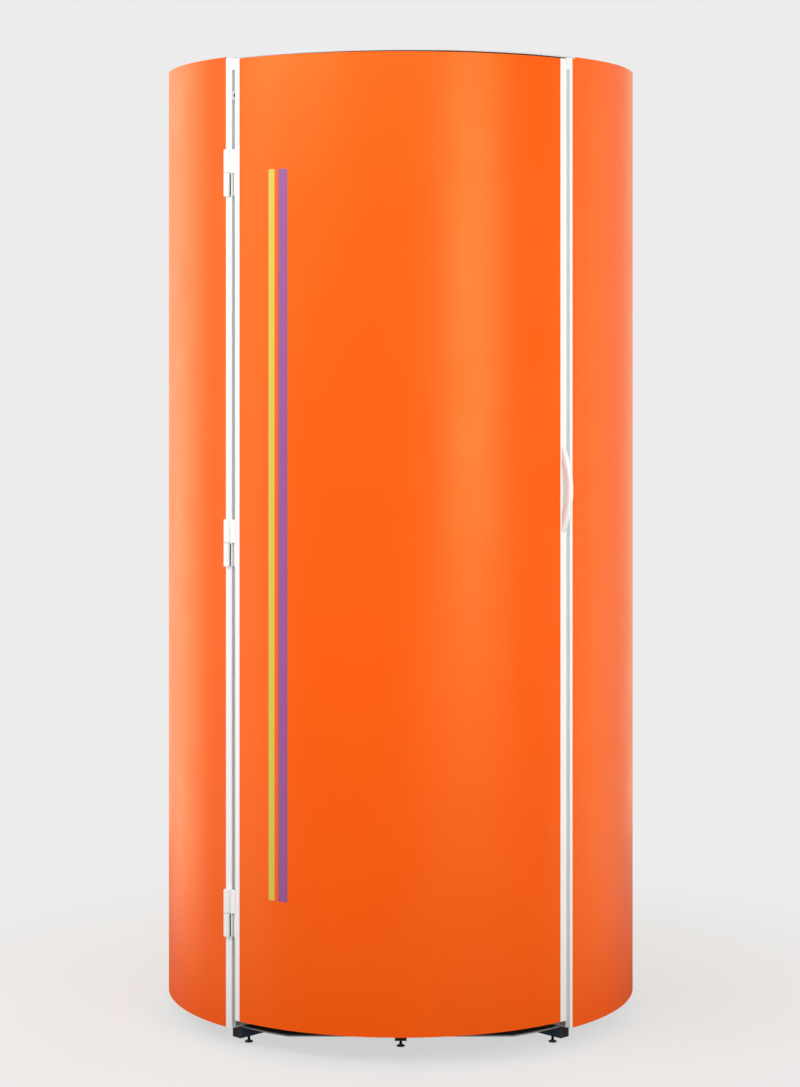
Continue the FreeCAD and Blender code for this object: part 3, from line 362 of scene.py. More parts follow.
# Pressed through a die: nearly invisible, with pale edges and a sharp highlight.
CLEAR = Acrylic("clear extruded acrylic", "#f2f8f8", 0.03, 20.0, 0.002, 0.004)
# A dusted coat inside a glass tube: an even milky white under a sharp glass gloss.
PHOSPHOR = Phosphor("phosphor coat under glass", "#eef2f6", 0.3, 2.0, 0.002)


# ---- Shapes ----


def around(radius: float, azimuth: float, height: float) -> Point:
    """A point in millimetres from a radius and an azimuth in degrees, counted from the front to the right."""
    angle = math.radians(azimuth)
    return (radius * math.sin(angle), -radius * math.cos(angle), height)


def circle(radius: float, sides: int) -> list[Pair]:
    """Evenly spaced points of a circle about zero."""
    turns = [math.tau * side / sides for side in range(sides)]
    return [(radius * math.cos(turn), radius * math.sin(turn)) for turn in turns]


def add_object(name: str, data: bpy.types.ID) -> bpy.types.Object:
    """Put data into the scene as an object.

    Args:
        name: The object's name.
        data: Its mesh, lamp or camera.

    Returns:
        The new object.
    """
    made = bpy.data.objects.new(name, data)
    bpy.context.scene.collection.objects.link(made)
    return made


class Form:
    """The shape of one piece, put together from rings of points in millimetres."""

    def __init__(self) -> None:
        """Start with nothing in it."""
        self.mesh = bmesh.new()

    def loft(self, rings: Sequence[Sequence[Point]], at: Matrix = UPRIGHT) -> "Form":
        """Join closed rings of equally many points by faces and fill both ends.

        Args:
            rings: The rings, in order.
            at: The placement that the points are in.

        Returns:
            The form itself.
        """
        rows = [[self.mesh.verts.new(at @ Vector(point) * MM) for point in ring] for ring in rings]
        count = len(rows[0])
        for low, high in zip(rows, rows[1:]):
            for i in range(count):
                j = (i + 1) % count
                self.mesh.faces.new((low[i], low[j], high[j], high[i]))
        for end in (rows[0], rows[-1]):
            self.mesh.faces.new(end)
        return self

    def bend(self, section: Sequence[Pair], start: float, end: float, steps: int) -> "Form":
        """Carry a section of radii and heights round the cabin's axis, from one azimuth to another."""
        turns = [start + (end - start) * step / steps for step in range(steps + 1)]
        return self.loft([[around(radius, turn, height) for radius, height in section] for turn in turns])

    def lathe(self, profile: Sequence[Pair], at: Matrix = UPRIGHT, sides: int = 24) -> "Form":
        """Turn a profile of radii and heights about the Z axis of a placement."""
        return self.loft([[(x, y, height) for x, y in circle(radius, sides)] for radius, height in profile], at)

    def prism(self, outline: Sequence[Pair], low: float, high: float, at: Matrix = UPRIGHT) -> "Form":
        """Raise an outline between two heights of a placement."""
        return self.loft([[(x, y, height) for x, y in outline] for height in (low, high)], at)

    def sweep(self, line: Sequence[Vector], section: Sequence[Pair], across: Vector) -> "Form":
        """Carry a section along a line that lies square to one direction.

        Args:
            line: The line's points.
            section: The outline, as a distance along the direction and one square to it and to the line.
            across: The direction.

        Returns:
            The form itself.
        """
        rings = []
        for i, centre in enumerate(line):
            ahead = line[min(i + 1, len(line) - 1)] - line[max(i - 1, 0)]
            normal = ahead.normalized().cross(across)
            rings.append([tuple(centre + across * u + normal * v) for u, v in section])
        return self.loft(rings)

    def relief(
        self, xs: Sequence[float], ys: Sequence[float], level: Callable[[int, int], float], at: Matrix
    ) -> "Form":
        """Raise a block whose top has its own level between each pair of cuts.

        Args:
            xs: The cuts along X, in order.
            ys: The cuts along Y, in order.
            level: Gives a cell's level from its place along X and Y.
            at: The placement, in millimetres.

        Returns:
            The form itself.
        """
        tops = {(i, j): level(i, j) for i in range(len(xs) - 1) for j in range(len(ys) - 1)}

        def face(corners: Iterable[tuple[int, int, float]]) -> None:
            """Add one flat face."""
            points = [at @ Vector((xs[i], ys[j], height)) * MM for i, j, height in corners]
            self.mesh.faces.new([self.mesh.verts.new(point) for point in points])

        for (i, j), top in tops.items():
            ring = ((i, j), (i + 1, j), (i + 1, j + 1), (i, j + 1))
            for height in (0.0, top):
                face((a, b, height) for a, b in ring)
            for side, (along, aside) in enumerate(((0, -1), (1, 0), (0, 1), (-1, 0))):
                beside = tops.get((i + along, j + aside), 0.0)
                if beside < top:
                    (a, b), (c, d) = ring[side], ring[(side + 1) % 4]
                    face(((a, b, beside), (c, d, beside), (c, d, top), (a, b, top)))
        mesh = self.mesh
        bmesh.ops.remove_doubles(mesh, verts=mesh.verts, dist=0.001 * MM)
        bmesh.ops.dissolve_limit(mesh, angle_limit=math.radians(1), verts=mesh.verts, edges=mesh.edges)
        return self

    def screw(self, at: Matrix, radius: float, rise: float) -> "Form":
        """Add a socket screw's low domed head, whose height is a share of its radius, facing Z."""
        profile = ((1.0, 0.0), (1.0, 0.4), (0.86, 0.8), (0.48, 1.0), (0.42, 0.2))
        return self.lathe([(radius * out, radius * rise * up) for out, up in profile], at, 12)

    def screw_corners(self, at: Matrix, x: float, y: float, z: float, radius: float, rise: float) -> None:
        """Put a screw at each corner of a rectangle about a placement's Z axis."""
        for spot in [(up * x, aside * y, z) for up in (-1, 1) for aside in (-1, 1)]:
            self.screw(at @ Matrix.Translation(spot), radius, rise)

    def cabin_screws(self, name: str) -> bpy.types.Object:
        """Turn the form into zinc-plated screws on the cabin."""
        return self.piece(name, Body.CABIN, "zinc_sheet", STEEL)

    def piece(self, name: str, body: Body, slot: str, finish: Finish, soft_mm: float = 0.0) -> bpy.types.Object:
        """Turn the form into a named piece that moves with a body.

        Args:
            name: The piece's name.
            body: The body that it moves with.
            slot: Not used.
            finish: Its finish.
            soft_mm: How far its edges are rounded.

        Returns:
            The new object.
        """
        bmesh.ops.recalc_face_normals(self.mesh, faces=self.mesh.faces)
        for face in self.mesh.faces:
            face.smooth = True
        for edge in self.mesh.edges:
            edge.smooth = edge.calc_face_angle(0.0) < math.radians(SMOOTH_BELOW)
        data = bpy.data.meshes.new(name)
        self.mesh.to_mesh(data)
        self.mesh.free()
        made = add_object(name, data)
        data.materials.append(finish.material())
        if soft_mm:
            bevel = made.modifiers.new("soft edges", "BEVEL")
            bevel.width = soft_mm * MM
            bevel.segments = 2
            bevel.limit_method = "ANGLE"
            bevel.angle_limit = math.radians(SMOOTH_BELOW)
        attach(made, body.value)
        log.info("%s on %s, %s", name, body.value, finish.name)
        return made


def level_at(radius: float, azimuth: float, height: float) -> Matrix:
    """A placement whose X axis points outwards and whose Z axis points up."""
    turn = Matrix.Rotation(math.radians(azimuth - 90), 4, "Z")
    return Matrix.Translation(Vector(around(radius, azimuth, height))) @ turn


def at_post(side: Side, height: float = 0.0) -> Matrix:
    """A level placement on the cabin's axis whose X axis points at the door side of a post."""
    return level_at(0.0, side.value * POST_AZIMUTH, height)


def facing_out(radius: float, azimuth: float, height: float) -> Matrix:
    """A placement whose Z axis points outwards."""
    return level_at(radius, azimuth, height) @ Matrix.Rotation(math.radians(90), 4, "Y")


def facing_in(radius: float, azimuth: float, height: float) -> Matrix:
    """A placement whose Z axis points at the cabin's axis and whose X axis points up."""
    return level_at(radius, azimuth, height) @ Matrix.Rotation(math.radians(-90), 4, "Y")


def rounded(width: float, depth: float, corner: float, steps: int = 3) -> list[Pair]:
    """The outline of a rectangle with round corners, about its middle.

    Args:
        width: Its size along X.
        depth: Its size along Y.
        corner: The corners' radius.
        steps: How many runs stand for a corner.

    Returns:
        The outline's points.
    """
    points = []
    for quarter, (right, up) in enumerate(((1, 1), (-1, 1), (-1, -1), (1, -1))):
        for step in range(steps + 1):
            angle = math.pi / 2 * (quarter + step / steps)
            x = right * (width / 2 - corner) + corner * math.cos(angle)
            y = up * (depth / 2 - corner) + corner * math.sin(angle)
            points.append((x, y))
    return points


def box(left: float, right: float, low: float, high: float) -> list[Pair]:
    """The outline of a rectangle between two places on each axis."""
    return [(left, low), (right, low), (right, high), (left, high)]


def spread(count: int, pitch: float) -> list[float]:
    """Evenly pitched places about zero."""
    return [(i - (count - 1) / 2) * pitch for i in range(count)]


def dress(finish: Finish, *nodes: str) -> None:
    """Give CAD nodes a finish.

    Args:
        finish: The finish.
        nodes: The nodes' names.
    """
    for name in nodes:
        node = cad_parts[name]
        node.data.materials.clear()
        node.data.materials.append(finish.material())
        log.info("%s: %s", name, finish.name)


# ---- Sub-assemblies ----


@dataclass
class Shell:
    """Side panels, rear panel and door skin in gloss lacquer, with the white edge profiles."""

    radius: float = SHELL_RADIUS
    seam_azimuth: float = 118.0
    seam_screw_offset: float = 1.4
    seam_screws_from: float = 60.0
    seam_screw_pitch: float = 240.0
    seam_screw_rows: int = 9
    bottom: float = 44.0
    top: float = 2104.0
    gap: float = 10.9
    play: float = 1.2
    switch_levels: Pair = (2011.0, 2031.0)
    strip_sheet: float = 1.0
    strip_depth: float = 24.0
    strip_step: float = 3.5
    strip_end: float = 3.0
    hinge_play: float = 1.0
    bezel_depths: Pair = (1.9, 1.3)
    notch_lip: float = 3.0
    notch_depth: float = 5.5
    cap_height: float = 26.0
    cap_depths: Pair = (20.0, 0.5)
    cap_drop: float = 3.5
    hem: float = 0.25
    hem_bite: float = 0.3
    wedge_drops: Pair = (5.7, 3.2)
    wedge_inset: float = 0.6
    wedge_depth: float = 2.0
    wedge_thin: float = 0.4
    wedge_start: float = -41.85
    wedge_pitch: float = 1.25
    wedge_steps: int = 40

    def build(self) -> None:
        """Dress the sheets and the profiles, add what fastens and seals them, and lay painted shade in the gaps beside
        the door.
        """
        dress(ORANGE, "left_panel", "right_panel", "rear_panel", "door_skin")
        dress(WHITE_COAT, "left_post", "right_post", "door_left_edge", "door_right_edge")
        dress(ZINC, "panel_joint_strips")
        dress(RUBBER, "door_seals")
        self.gap_shade_strips()
        self.switch_bezel()
        self.end_caps()
        self.head_strip()
        self.hems()
        self.seam_screws()

    def gap_shade_strips(self) -> None:
        """Close the gap beside the door with painted shade: a grey strip between the hinges and a paler one at the
        handle, standing in for the gap's shadow.
        """
        outer, across, sheet = self.radius - self.strip_step, self.gap - self.play, self.strip_sheet
        inner = outer - self.strip_depth
        outline = [(inner, 0.0), (outer, 0.0), (outer, across)]
        outline += [(outer - sheet, across), (outer - sheet, sheet), (inner, sheet)]
        # Painted shade: both strips are grey sheets near the surface whose grey stands in for the shadow deep in the
        # gap.
        for name, side, breaks, finish in (
            ("hinge_gap_shade_strip", Side.LEFT, self.hinge_breaks(), GAP_SHADE_GREY),
            ("catch_gap_shade_strip", Side.RIGHT, [], PALE_GREY_AND_GAP_SHADE),
        ):
            levels = [self.bottom + self.strip_end, *breaks, self.top - self.cap_height - self.strip_end]
            form = Form()
            for low, high in zip(levels[::2], levels[1::2]):
                form.prism(self.mirrored(outline, side), low, high, at_post(side))
            form.piece(name, Body.CABIN, "mat_rubber", finish, 0.3)

    def switch_bezel(self) -> None:
        """Cover the door switch but for a notch beside the door."""
        low, high = self.switch_levels
        across = self.gap - self.play
        outline = [(0.0, low), (across, low), (across, low + self.notch_lip)]
        outline += [(across - self.notch_depth, (low + high) / 2)]
        outline += [(across, high - self.notch_lip), (across, high), (0.0, high)]
        rings = [[(self.radius - depth, y, z) for y, z in outline] for depth in self.bezel_depths]
        form = Form().loft(rings, at_post(Side.LEFT))
        form.piece("door_switch_bezel", Body.CABIN, "mat_rubber", PALE_GREY_AND_GAP_SHADE)

    def hinge_breaks(self) -> list[float]:
        """Return the heights where the hinges and the door switch break the painted shade strip."""
        around_hinge = (-self.hinge_play, HINGE_HEIGHT + self.hinge_play)
        return [*(low + end for low in HINGE_BOTTOMS for end in around_hinge), *self.switch_levels]

    def mirrored(self, outline: list[Pair], side: Side) -> list[Pair]:
        """Turn an outline so that it reaches from a post towards the door, going round the same way."""
        return outline if side is Side.LEFT else [(x, -y) for x, y in reversed(outline)]

    def end_caps(self) -> None:
        """Plug the top of both gaps with white caps."""
        form = Form()
        inner, outer = (self.radius - depth for depth in self.cap_depths)
        outline = box(inner, outer, 0.0, self.gap - self.play)
        low = self.top - self.strip_end - self.cap_height
        for side in Side:
            form.prism(self.mirrored(outline, side), low, self.top - self.cap_drop, at_post(side))
        form.piece("post_end_caps", Body.CABIN, "white_edge", WHITE_ABS, 0.4)

    def hems(self) -> None:
        """Fold the lacquered sheets over the outer edge of the profiles beside them."""
        inside, outside = self.radius - self.hem_bite, self.radius + self.hem
        for name, body, start, end, low, high in (
            ("door_skin_hem", Body.DOOR, -40.45, -39.7, 63.4, 2097.6),
            ("right_panel_hem", Body.CABIN, 43.95, 45.3, 44.4, 2100.4),
        ):
            form = Form().bend(box(inside, outside, low, high), start, end, 4)
            form.piece(name, body, "orange_sheet", ORANGE)

    def head_strip(self) -> None:
        """Pack the slit over the door with a wedge that makes up for the door's drop towards the handle."""
        low, high = (self.top - drop for drop in self.wedge_drops)
        outer = self.radius - self.wedge_inset
        inner = outer - self.wedge_depth
        rings = []
        for step in range(self.wedge_steps + 1):
            azimuth = self.wedge_start + step * self.wedge_pitch
            base = low + (high - self.wedge_thin - low) * step / self.wedge_steps
            rings.append([around(r, azimuth, z) for r, z in box(inner, outer, base, high)])
        Form().loft(rings).piece("door_head_strip", Body.CABIN, "mat_rubber", PALE_GREY_AND_GAP_SHADE)

    def seam_screws(self) -> None:
        """Screw the side panels and the rear panel to the strips behind their seams."""
        form = Form()
        for side in Side:
            for aside in (-self.seam_screw_offset, self.seam_screw_offset):
                for level in range(self.seam_screw_rows):
                    height = self.bottom + self.seam_screws_from + level * self.seam_screw_pitch
                    azimuth = side.value * (self.seam_azimuth + aside)
                    form.screw(facing_out(self.radius, azimuth, height), 4.0, 0.4)
        form.cabin_screws("panel_seam_screws")


@dataclass
class Stripes:
    """Two plain vinyl stripes down the hinge side of the door."""

    radius: float = SHELL_RADIUS
    film: float = 0.25
    bottom: float = 330.0
    top: float = 1860.0

    def build(self) -> None:
        """Lay both stripes on the door skin."""
        section = box(self.radius, self.radius + self.film, self.bottom, self.top)
        for name, centre, width, colour in (
            ("mustard", -31.0, 15.0, "#d6be41"),
            ("plum", -28.0, 22.0, "#96508c"),
        ):
            finish = Finish(f"cast vinyl film, {name}", colour, 0.35, 2.5, 0.004, 0.01)
            half = math.degrees(width / 2 / self.radius)
            form = Form().bend(section, centre - half, centre + half, 6)
            form.piece(f"door_stripe_{name}", Body.DOOR, "orange_sheet", finish)


@dataclass
class Handle:
    """Moulded bow handle on the door's right edge."""

    azimuth: float = 40.95
    radius: float = SHELL_RADIUS
    bottom: float = 1095.0
    length: float = 185.0
    width: float = 12.0
    reach: float = 25.0
    hole_length: float = 112.0
    hole_reach: float = 14.0
    corner: float = 3.2
    tip: float = 0.6
    thinnest: float = 0.4
    steps: int = 36

    def rise(self, height: float, chord: float, reach: float) -> float:
        """How far an arc over the handle's middle stands out at a height, or zero beyond its chord."""
        away, curve = abs(height - self.length / 2), (chord**2 / 4 + reach**2) / 2 / reach
        return 0.0 if away >= chord / 2 else math.sqrt(curve**2 - away**2) - curve + reach

    def build(self) -> None:
        """Loft a soft-cornered section along the bow."""
        rings = []
        for step in range(self.steps + 1):
            turn = math.pi * step / self.steps
            height = self.length / 2 - (self.length / 2 - self.tip) * math.cos(turn)
            inner = self.rise(height, self.hole_length, self.hole_reach)
            outer = max(self.rise(height, self.length, self.reach), inner + self.thinnest)
            corner = min(self.corner, (outer - inner) * 0.45)
            section = rounded(outer - inner, self.width, corner)
            rings.append([((outer + inner) / 2 + x, y, height) for x, y in section])
        form = Form().loft(rings, level_at(self.radius, self.azimuth, self.bottom))
        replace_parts(form.piece("door_bow_handle", Body.DOOR, "white_plastic", WHITE_ABS), "door_handle")


@dataclass
class Hinges:
    """Three lift-off hinges with a dark washer between their halves."""

    axis: Pair = (-368.987, -383.039)
    height: float = HINGE_HEIGHT
    play: float = 0.3
    radius: float = SHELL_RADIUS
    leaf_depth: float = 40.0
    sheet: float = 3.0
    rise: float = 0.3
    knuckle: float = 6.3
    chamfer: float = 1.0
    washer: float = 5.7
    # A thin black sheet of painted shade in the slit beside each lower knuckle:
    slit_shade_sheet: float = 0.3
    slit_shade_play: float = 0.2
    slit_shade_start: float = 2.0
    slit_shade_end: float = 1.2
    screw_inset: float = 26.0
    screw_levels: tuple[float, ...] = (18.0, 50.0, 82.0)

    def half(self, name: str, node: str, body: Body, azimuth: float, side: Side, upper: bool) -> None:
        """Build the halves of all three hinges on one side of the gap, with painted shade in the slit beside the lower
        knuckles.

        Args:
            name: The piece's name.
            node: The CAD node that it stands for.
            body: The body that carries the halves.
            azimuth: Where the leaves' wall is.
            side: The side of that wall that the leaves lie on.
            upper: Whether these halves carry the upper knuckles.
        """
        form, screws, slit_shades = Form(), Form(), Form()
        length = (self.height - self.play) / 2
        low = self.height - length if upper else 0.0
        face = side.value * self.sheet
        near, far = (0.0, face) if side is Side.LEFT else (face, 0.0)
        inner, outer = self.radius - self.rise, self.radius + self.rise
        front = outer + self.sheet
        leaf = box(self.radius - self.leaf_depth, self.radius, 0.0, face)
        out = Matrix.Rotation(math.radians(-90 * side.value), 4, "X")
        for bottom in HINGE_BOTTOMS:
            place = level_at(0.0, azimuth, bottom)
            pin = place.inverted() @ Vector((*self.axis, bottom))
            form.prism(leaf, 0.0, self.height, place)
            arm = [(inner, near), (front, near), (front, pin.y), (outer, pin.y), (outer, far), (inner, far)]
            form.prism(arm, low, low + length, place)
            form.lathe(self.barrel(length), place @ Matrix.Translation((pin.x, pin.y, low)), 32)
            # Painted shade: a thin black sheet beside the lower knuckle stands in for the dark slit between the
            # knuckle and the leaf.
            beside = pin.y + self.knuckle + self.slit_shade_play
            slit_shade = box(front, front + self.slit_shade_sheet, beside, self.slit_shade_start)
            slit_shades.prism(slit_shade, self.slit_shade_end, length - self.slit_shade_end, place)
            for level in self.screw_levels:
                spot = Matrix.Translation((self.radius - self.screw_inset, face, level))
                screws.screw(place @ spot @ out, 3.4, 0.16)
        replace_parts(form.piece(name, body, "hinge_coat", WHITE_COAT, 0.35), node)
        screws.piece(f"{name}_screws", body, "hinge_coat", STEEL)
        if upper:
            slit_shades.mesh.free()
        else:
            slit_shades.piece("hinge_slit_shade_strips", body, "black_plastic", BLACK_ABS)

    def barrel(self, length: float) -> list[Pair]:
        """A knuckle's profile with its ends chamfered."""
        inside, end = self.knuckle - self.chamfer, length - self.chamfer
        return [(inside, 0.0), (self.knuckle, self.chamfer), (self.knuckle, end), (inside, length)]

    def build(self) -> None:
        """Build both halves and the washers that carry the door."""
        self.half("hinge_post_leaves", "hinge_post_halves", Body.CABIN, -POST_AZIMUTH, Side.RIGHT, False)
        self.half("hinge_door_leaves", "hinge_door_halves", Body.DOOR, -41.8995, Side.LEFT, True)
        form = Form()
        half = self.play / 2
        for bottom in HINGE_BOTTOMS:
            middle = Matrix.Translation((*self.axis, bottom + self.height / 2))
            form.lathe([(self.washer, -half), (self.washer, half)], middle, 32)
        form.piece("hinge_washers", Body.CABIN, "black_plastic", BLACK_ABS)


@dataclass
class Chassis:
    """Welded arms, their plugs, the base plate and the levelling feet."""

    front_reach: float = 359.0
    diagonal_reach: float = 460.0
    arm_bottom: float = 16.0
    arm_section: float = 25.0
    hub_reach: float = 60.0
    plate_radius: float = 495.0
    plate_front: float = 435.0
    plate_top: float = 44.0
    # Painted shade: a black strip on the base plate's front edge stands in for the shadow under the door.
    shade_strip_width: float = 26.0
    shade_strip_height: float = 1.0
    shade_strip_inset: float = 1.0
    shade_strip_sink: float = 0.2
    pad: tuple[Pair, ...] = ((8.4, 0.0), (8.9, 0.5), (8.9, 1.5), (8.3, 2.3), (5.6, 3.4), (4.0, 4.3), (3.5, 5.4))
    thread_pitch: float = 1.0
    thread_depth: float = 0.35
    thread_end: float = 6.0
    stem: float = 3.0
    bead: float = 2.2
    bead_ripple: float = 0.5
    bead_inset: float = 0.5
    bead_steps: int = 24

    def arms(self) -> list[tuple[Body, float, float]]:
        """Each foot's body with its radius and azimuth, from the front to the right."""
        feet = zip([body for body in Body if body.name.startswith("FOOT")], (0.0, 45.0, 135.0, 180.0, 225.0, 315.0))
        return [(foot, self.diagonal_reach if turn % 180.0 else self.front_reach, turn) for foot, turn in feet]

    def build(self) -> None:
        """Dress the frame and build the feet, the weld beads and the painted shade under the door."""
        dress(SLATE_COAT, "chassis_frame")
        dress(BLACK_ABS, "frame_end_plugs", "cable_gland")
        dress(GREY_COAT, "base_plate")
        self.feet()
        self.welds()
        self.under_door_shade()

    def under_door_shade(self) -> None:
        """Lay painted shade along the base plate's front edge, under the door: a black strip that stands in for the
        shadow there.
        """
        low, high = self.plate_top - self.shade_strip_sink, self.plate_top + self.shade_strip_height
        rings = []
        for azimuth in range(-42, 43, 2):
            edge = min(self.plate_radius, self.plate_front / math.cos(math.radians(azimuth)))
            outer = edge - self.shade_strip_inset
            inner = outer - self.shade_strip_width
            corners = ((outer, low), (outer, high), (inner, high), (inner, low))
            rings.append([around(radius, azimuth, height) for radius, height in corners])
        Form().loft(rings).piece("plate_front_shade_strip", Body.CABIN, "mat_rubber", RUBBER)

    def feet(self) -> None:
        """Turn each foot's plastic pad and its threaded stem."""
        thread = []
        height = self.pad[-1][1]
        while height < self.arm_bottom + self.thread_end:
            thread += [(self.stem, height), (self.stem - self.thread_depth, height + self.thread_pitch / 2)]
            height += self.thread_pitch
        for body, radius, azimuth in self.arms():
            place = level_at(radius, azimuth, 0.0)
            pad = Form().lathe(self.pad, place, 32)
            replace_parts(pad.piece(f"{body.value}_pad", body, "black_plastic", PAD_PLASTIC), body.value)
            stem = Form().lathe(thread, place, 20)
            stem.piece(f"{body.value}_stem", body, "black_plastic", BLACK_STEEL)

    def welds(self) -> None:
        """Lay a rippled bead down both sides of each arm where it meets the hub."""
        form = Form()
        low, length = self.arm_bottom + self.bead_inset, self.arm_section - 2 * self.bead_inset
        profile = []
        for step in range(self.bead_steps + 1):
            ripple = self.bead_ripple if step % 2 else 0.0
            profile.append((self.bead + ripple, low + step * length / self.bead_steps))
        for _, _, azimuth in self.arms():
            for side in Side:
                corner = Matrix.Translation((self.hub_reach, side.value * self.arm_section / 2, 0.0))
                form.lathe(profile, level_at(0.0, azimuth, 0.0) @ corner, 8)
        form.piece("hub_weld_beads", Body.CABIN, "frame_steel", SLATE_COAT)


@dataclass
class Floor:
    """Moulded floor with a ribbed rubber mat."""

    radius: float = 378.0
    bottom: float = 100.0
    body_height: float = 2.2
    edge: float = 0.8
    border: float = 14.0
    border_slope: float = 0.5
    rib_height: float = 0.8
    rib_pitch: float = 11.0
    rib_width: float = 5.0
    rib_slope: float = 0.9
    rib_margin: float = 4.0
    shortest_half_rib: float = 20.0

    def build(self) -> None:
        """Dress the floor and build the mat with its ribs."""
        dress(FLOOR_ABS, "floor_platform")
        top = self.bottom + self.body_height
        crest = top + self.rib_height
        outer, inside = self.radius - self.edge, self.radius - self.border
        profile = [(outer, self.bottom), (self.radius, self.bottom + self.edge), (outer, crest)]
        profile += [(inside, crest), (inside - self.border_slope, top)]
        form = Form().lathe(profile, sides=96)
        reach = inside - self.rib_margin
        for place in spread(int(2 * reach / self.rib_pitch), self.rib_pitch):
            half = math.sqrt(max(reach**2 - place**2, 0.0))
            if half >= self.shortest_half_rib:
                low, high = place - self.rib_width / 2, place + self.rib_width / 2
                section = [(low, top), (high, top), (high - self.rib_slope, crest), (low + self.rib_slope, crest)]
                form.loft([[(side * half, y, z) for y, z in section] for side in (-1, 1)])
        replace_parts(form.piece("floor_rib_mat", Body.CABIN, "mat_rubber", RUBBER), "floor_mat")


@dataclass
class LampRing:
    """Upright fluorescent lamps with their end caps, behind the shields of one body."""

    owner: str
    body: Body
    count: int
    middle: float
    ring: float = 432.0
    pitch: float = 10.9
    radius: float = 19.0
    bottom: float = 150.0
    top: float = 1914.0
    cap: float = 13.0
    neck: float = 0.6
    shoulder: float = 4.0
    sides: int = 22

    def build(self) -> None:
        """Draw the tubes and cap their ends."""
        tubes, caps = Form(), Form()
        slim = self.radius - self.neck
        low, high = self.bottom + self.cap, self.top - self.cap
        tube = [(slim, low), (self.radius, low + self.shoulder), (self.radius, high - self.shoulder), (slim, high)]
        for turn in spread(self.count, self.pitch):
            place = level_at(self.ring, self.middle + turn, 0.0)
            tubes.lathe(tube, place, self.sides)
            for start, end in ((self.bottom, low), (high, self.top)):
                cap = [(slim - 1.0, start), (slim, start + 1.5), (slim, end - 0.5), (slim, end)]
                caps.lathe(cap, place, self.sides)
        made = tubes.piece(f"{self.owner}_lamp_tubes", self.body, "lamp_glass", PHOSPHOR)
        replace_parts(made, f"{self.owner}_lamps")
        caps.piece(f"{self.owner}_lamp_caps", self.body, "reflector_sheet", STEEL)


@dataclass
class Interior:
    """Holders, reflectors and shields round the standing space."""

    screws: int = 9
    screw_pitch: float = 205.0
    middle: float = 1000.0
    beside_controls: float = 100.0

    def build(self) -> None:
        """Dress the inside and screw the joint of the two shields, but for where the control box sits."""
        dress(WHITE_ABS, "body_lampholders", "door_lampholders")
        dress(ROLLED, "body_reflector", "door_reflector", "shield_joiner")
        dress(CLEAR, "left_shield", "right_shield", "door_shield")
        dress(WHITE_COAT, "cabin_ceiling", "lamp_channels", "door_channels")
        form = Form()
        for level in spread(self.screws, self.screw_pitch):
            height = self.middle + level
            if abs(height - CONTROL_CENTRE) >= self.beside_controls:
                form.screw(facing_in(SHIELD_JOINT, 180.0, height), 4.5, 0.45)
        form.cabin_screws("shield_joint_screws")


@dataclass
class Controls:
    """Control box with its start and stop buttons, facing the user."""

    depth: float = 32.0
    height: float = 170.0
    width: float = 90.0
    spread: float = 22.0
    well: float = 12.4
    well_depth: float = 14.0
    screw_inset: float = 9.0
    button: float = 24.0
    button_corner: float = 2.5
    proud: float = 7.0
    # How much narrower a cap is than the button, and how far behind the cap's front, from back to dish.
    cap_steps: tuple[Pair, ...] = ((0.0, 16.0), (0.0, 1.6), (1.0, 0.4), (2.2, 0.0), (7.0, 0.8))

    def build(self) -> None:
        """Build the case and both buttons."""
        face = facing_in(SHIELD_JOINT, 180.0, CONTROL_CENTRE)
        edge, near, far = self.height / 2, self.spread - self.well, self.spread + self.well
        xs = [-edge, -far, -near, near, far, edge]
        ys = [-self.width / 2, -self.well, self.well, self.width / 2]

        def level(i: int, j: int) -> float:
            """The case's depth at a cell, less inside the wells."""
            return self.depth - self.well_depth if i in (1, 3) and j == 1 else self.depth

        case = Form().relief(xs, ys, level, face)
        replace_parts(case.piece("control_case", Body.CABIN, "white_plastic", WHITE_ABS, 1.0), "control_box")
        screws = Form()
        aside = self.width / 2 - self.screw_inset
        screws.screw_corners(face, edge - self.screw_inset, aside, self.depth, 2.6, 0.4)
        screws.cabin_screws("control_case_screws")
        for body, side, finish, slot in (
            (Body.START, 1, GREEN_ABS, "green_plastic"),
            (Body.STOP, -1, RED_ABS, "red_plastic"),
        ):
            self.cap(body, face @ Matrix.Translation((side * self.spread, 0.0, 0.0)), finish, slot)

    def cap(self, body: Body, place: Matrix, finish: Finish, slot: str) -> None:
        """Build one button's cap with a dished face.

        Args:
            body: The button's body.
            place: The middle of the button's well, at the case's back.
            finish: The cap's finish.
            slot: The material slot.
        """
        front = self.depth + self.proud
        rings = []
        for shrink, behind in self.cap_steps:
            size = self.button - shrink
            rings.append([(x, y, front - behind) for x, y in rounded(size, size, self.button_corner)])
        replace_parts(Form().loft(rings, place).piece(f"{body.value}_cap", body, slot, finish), body.value)


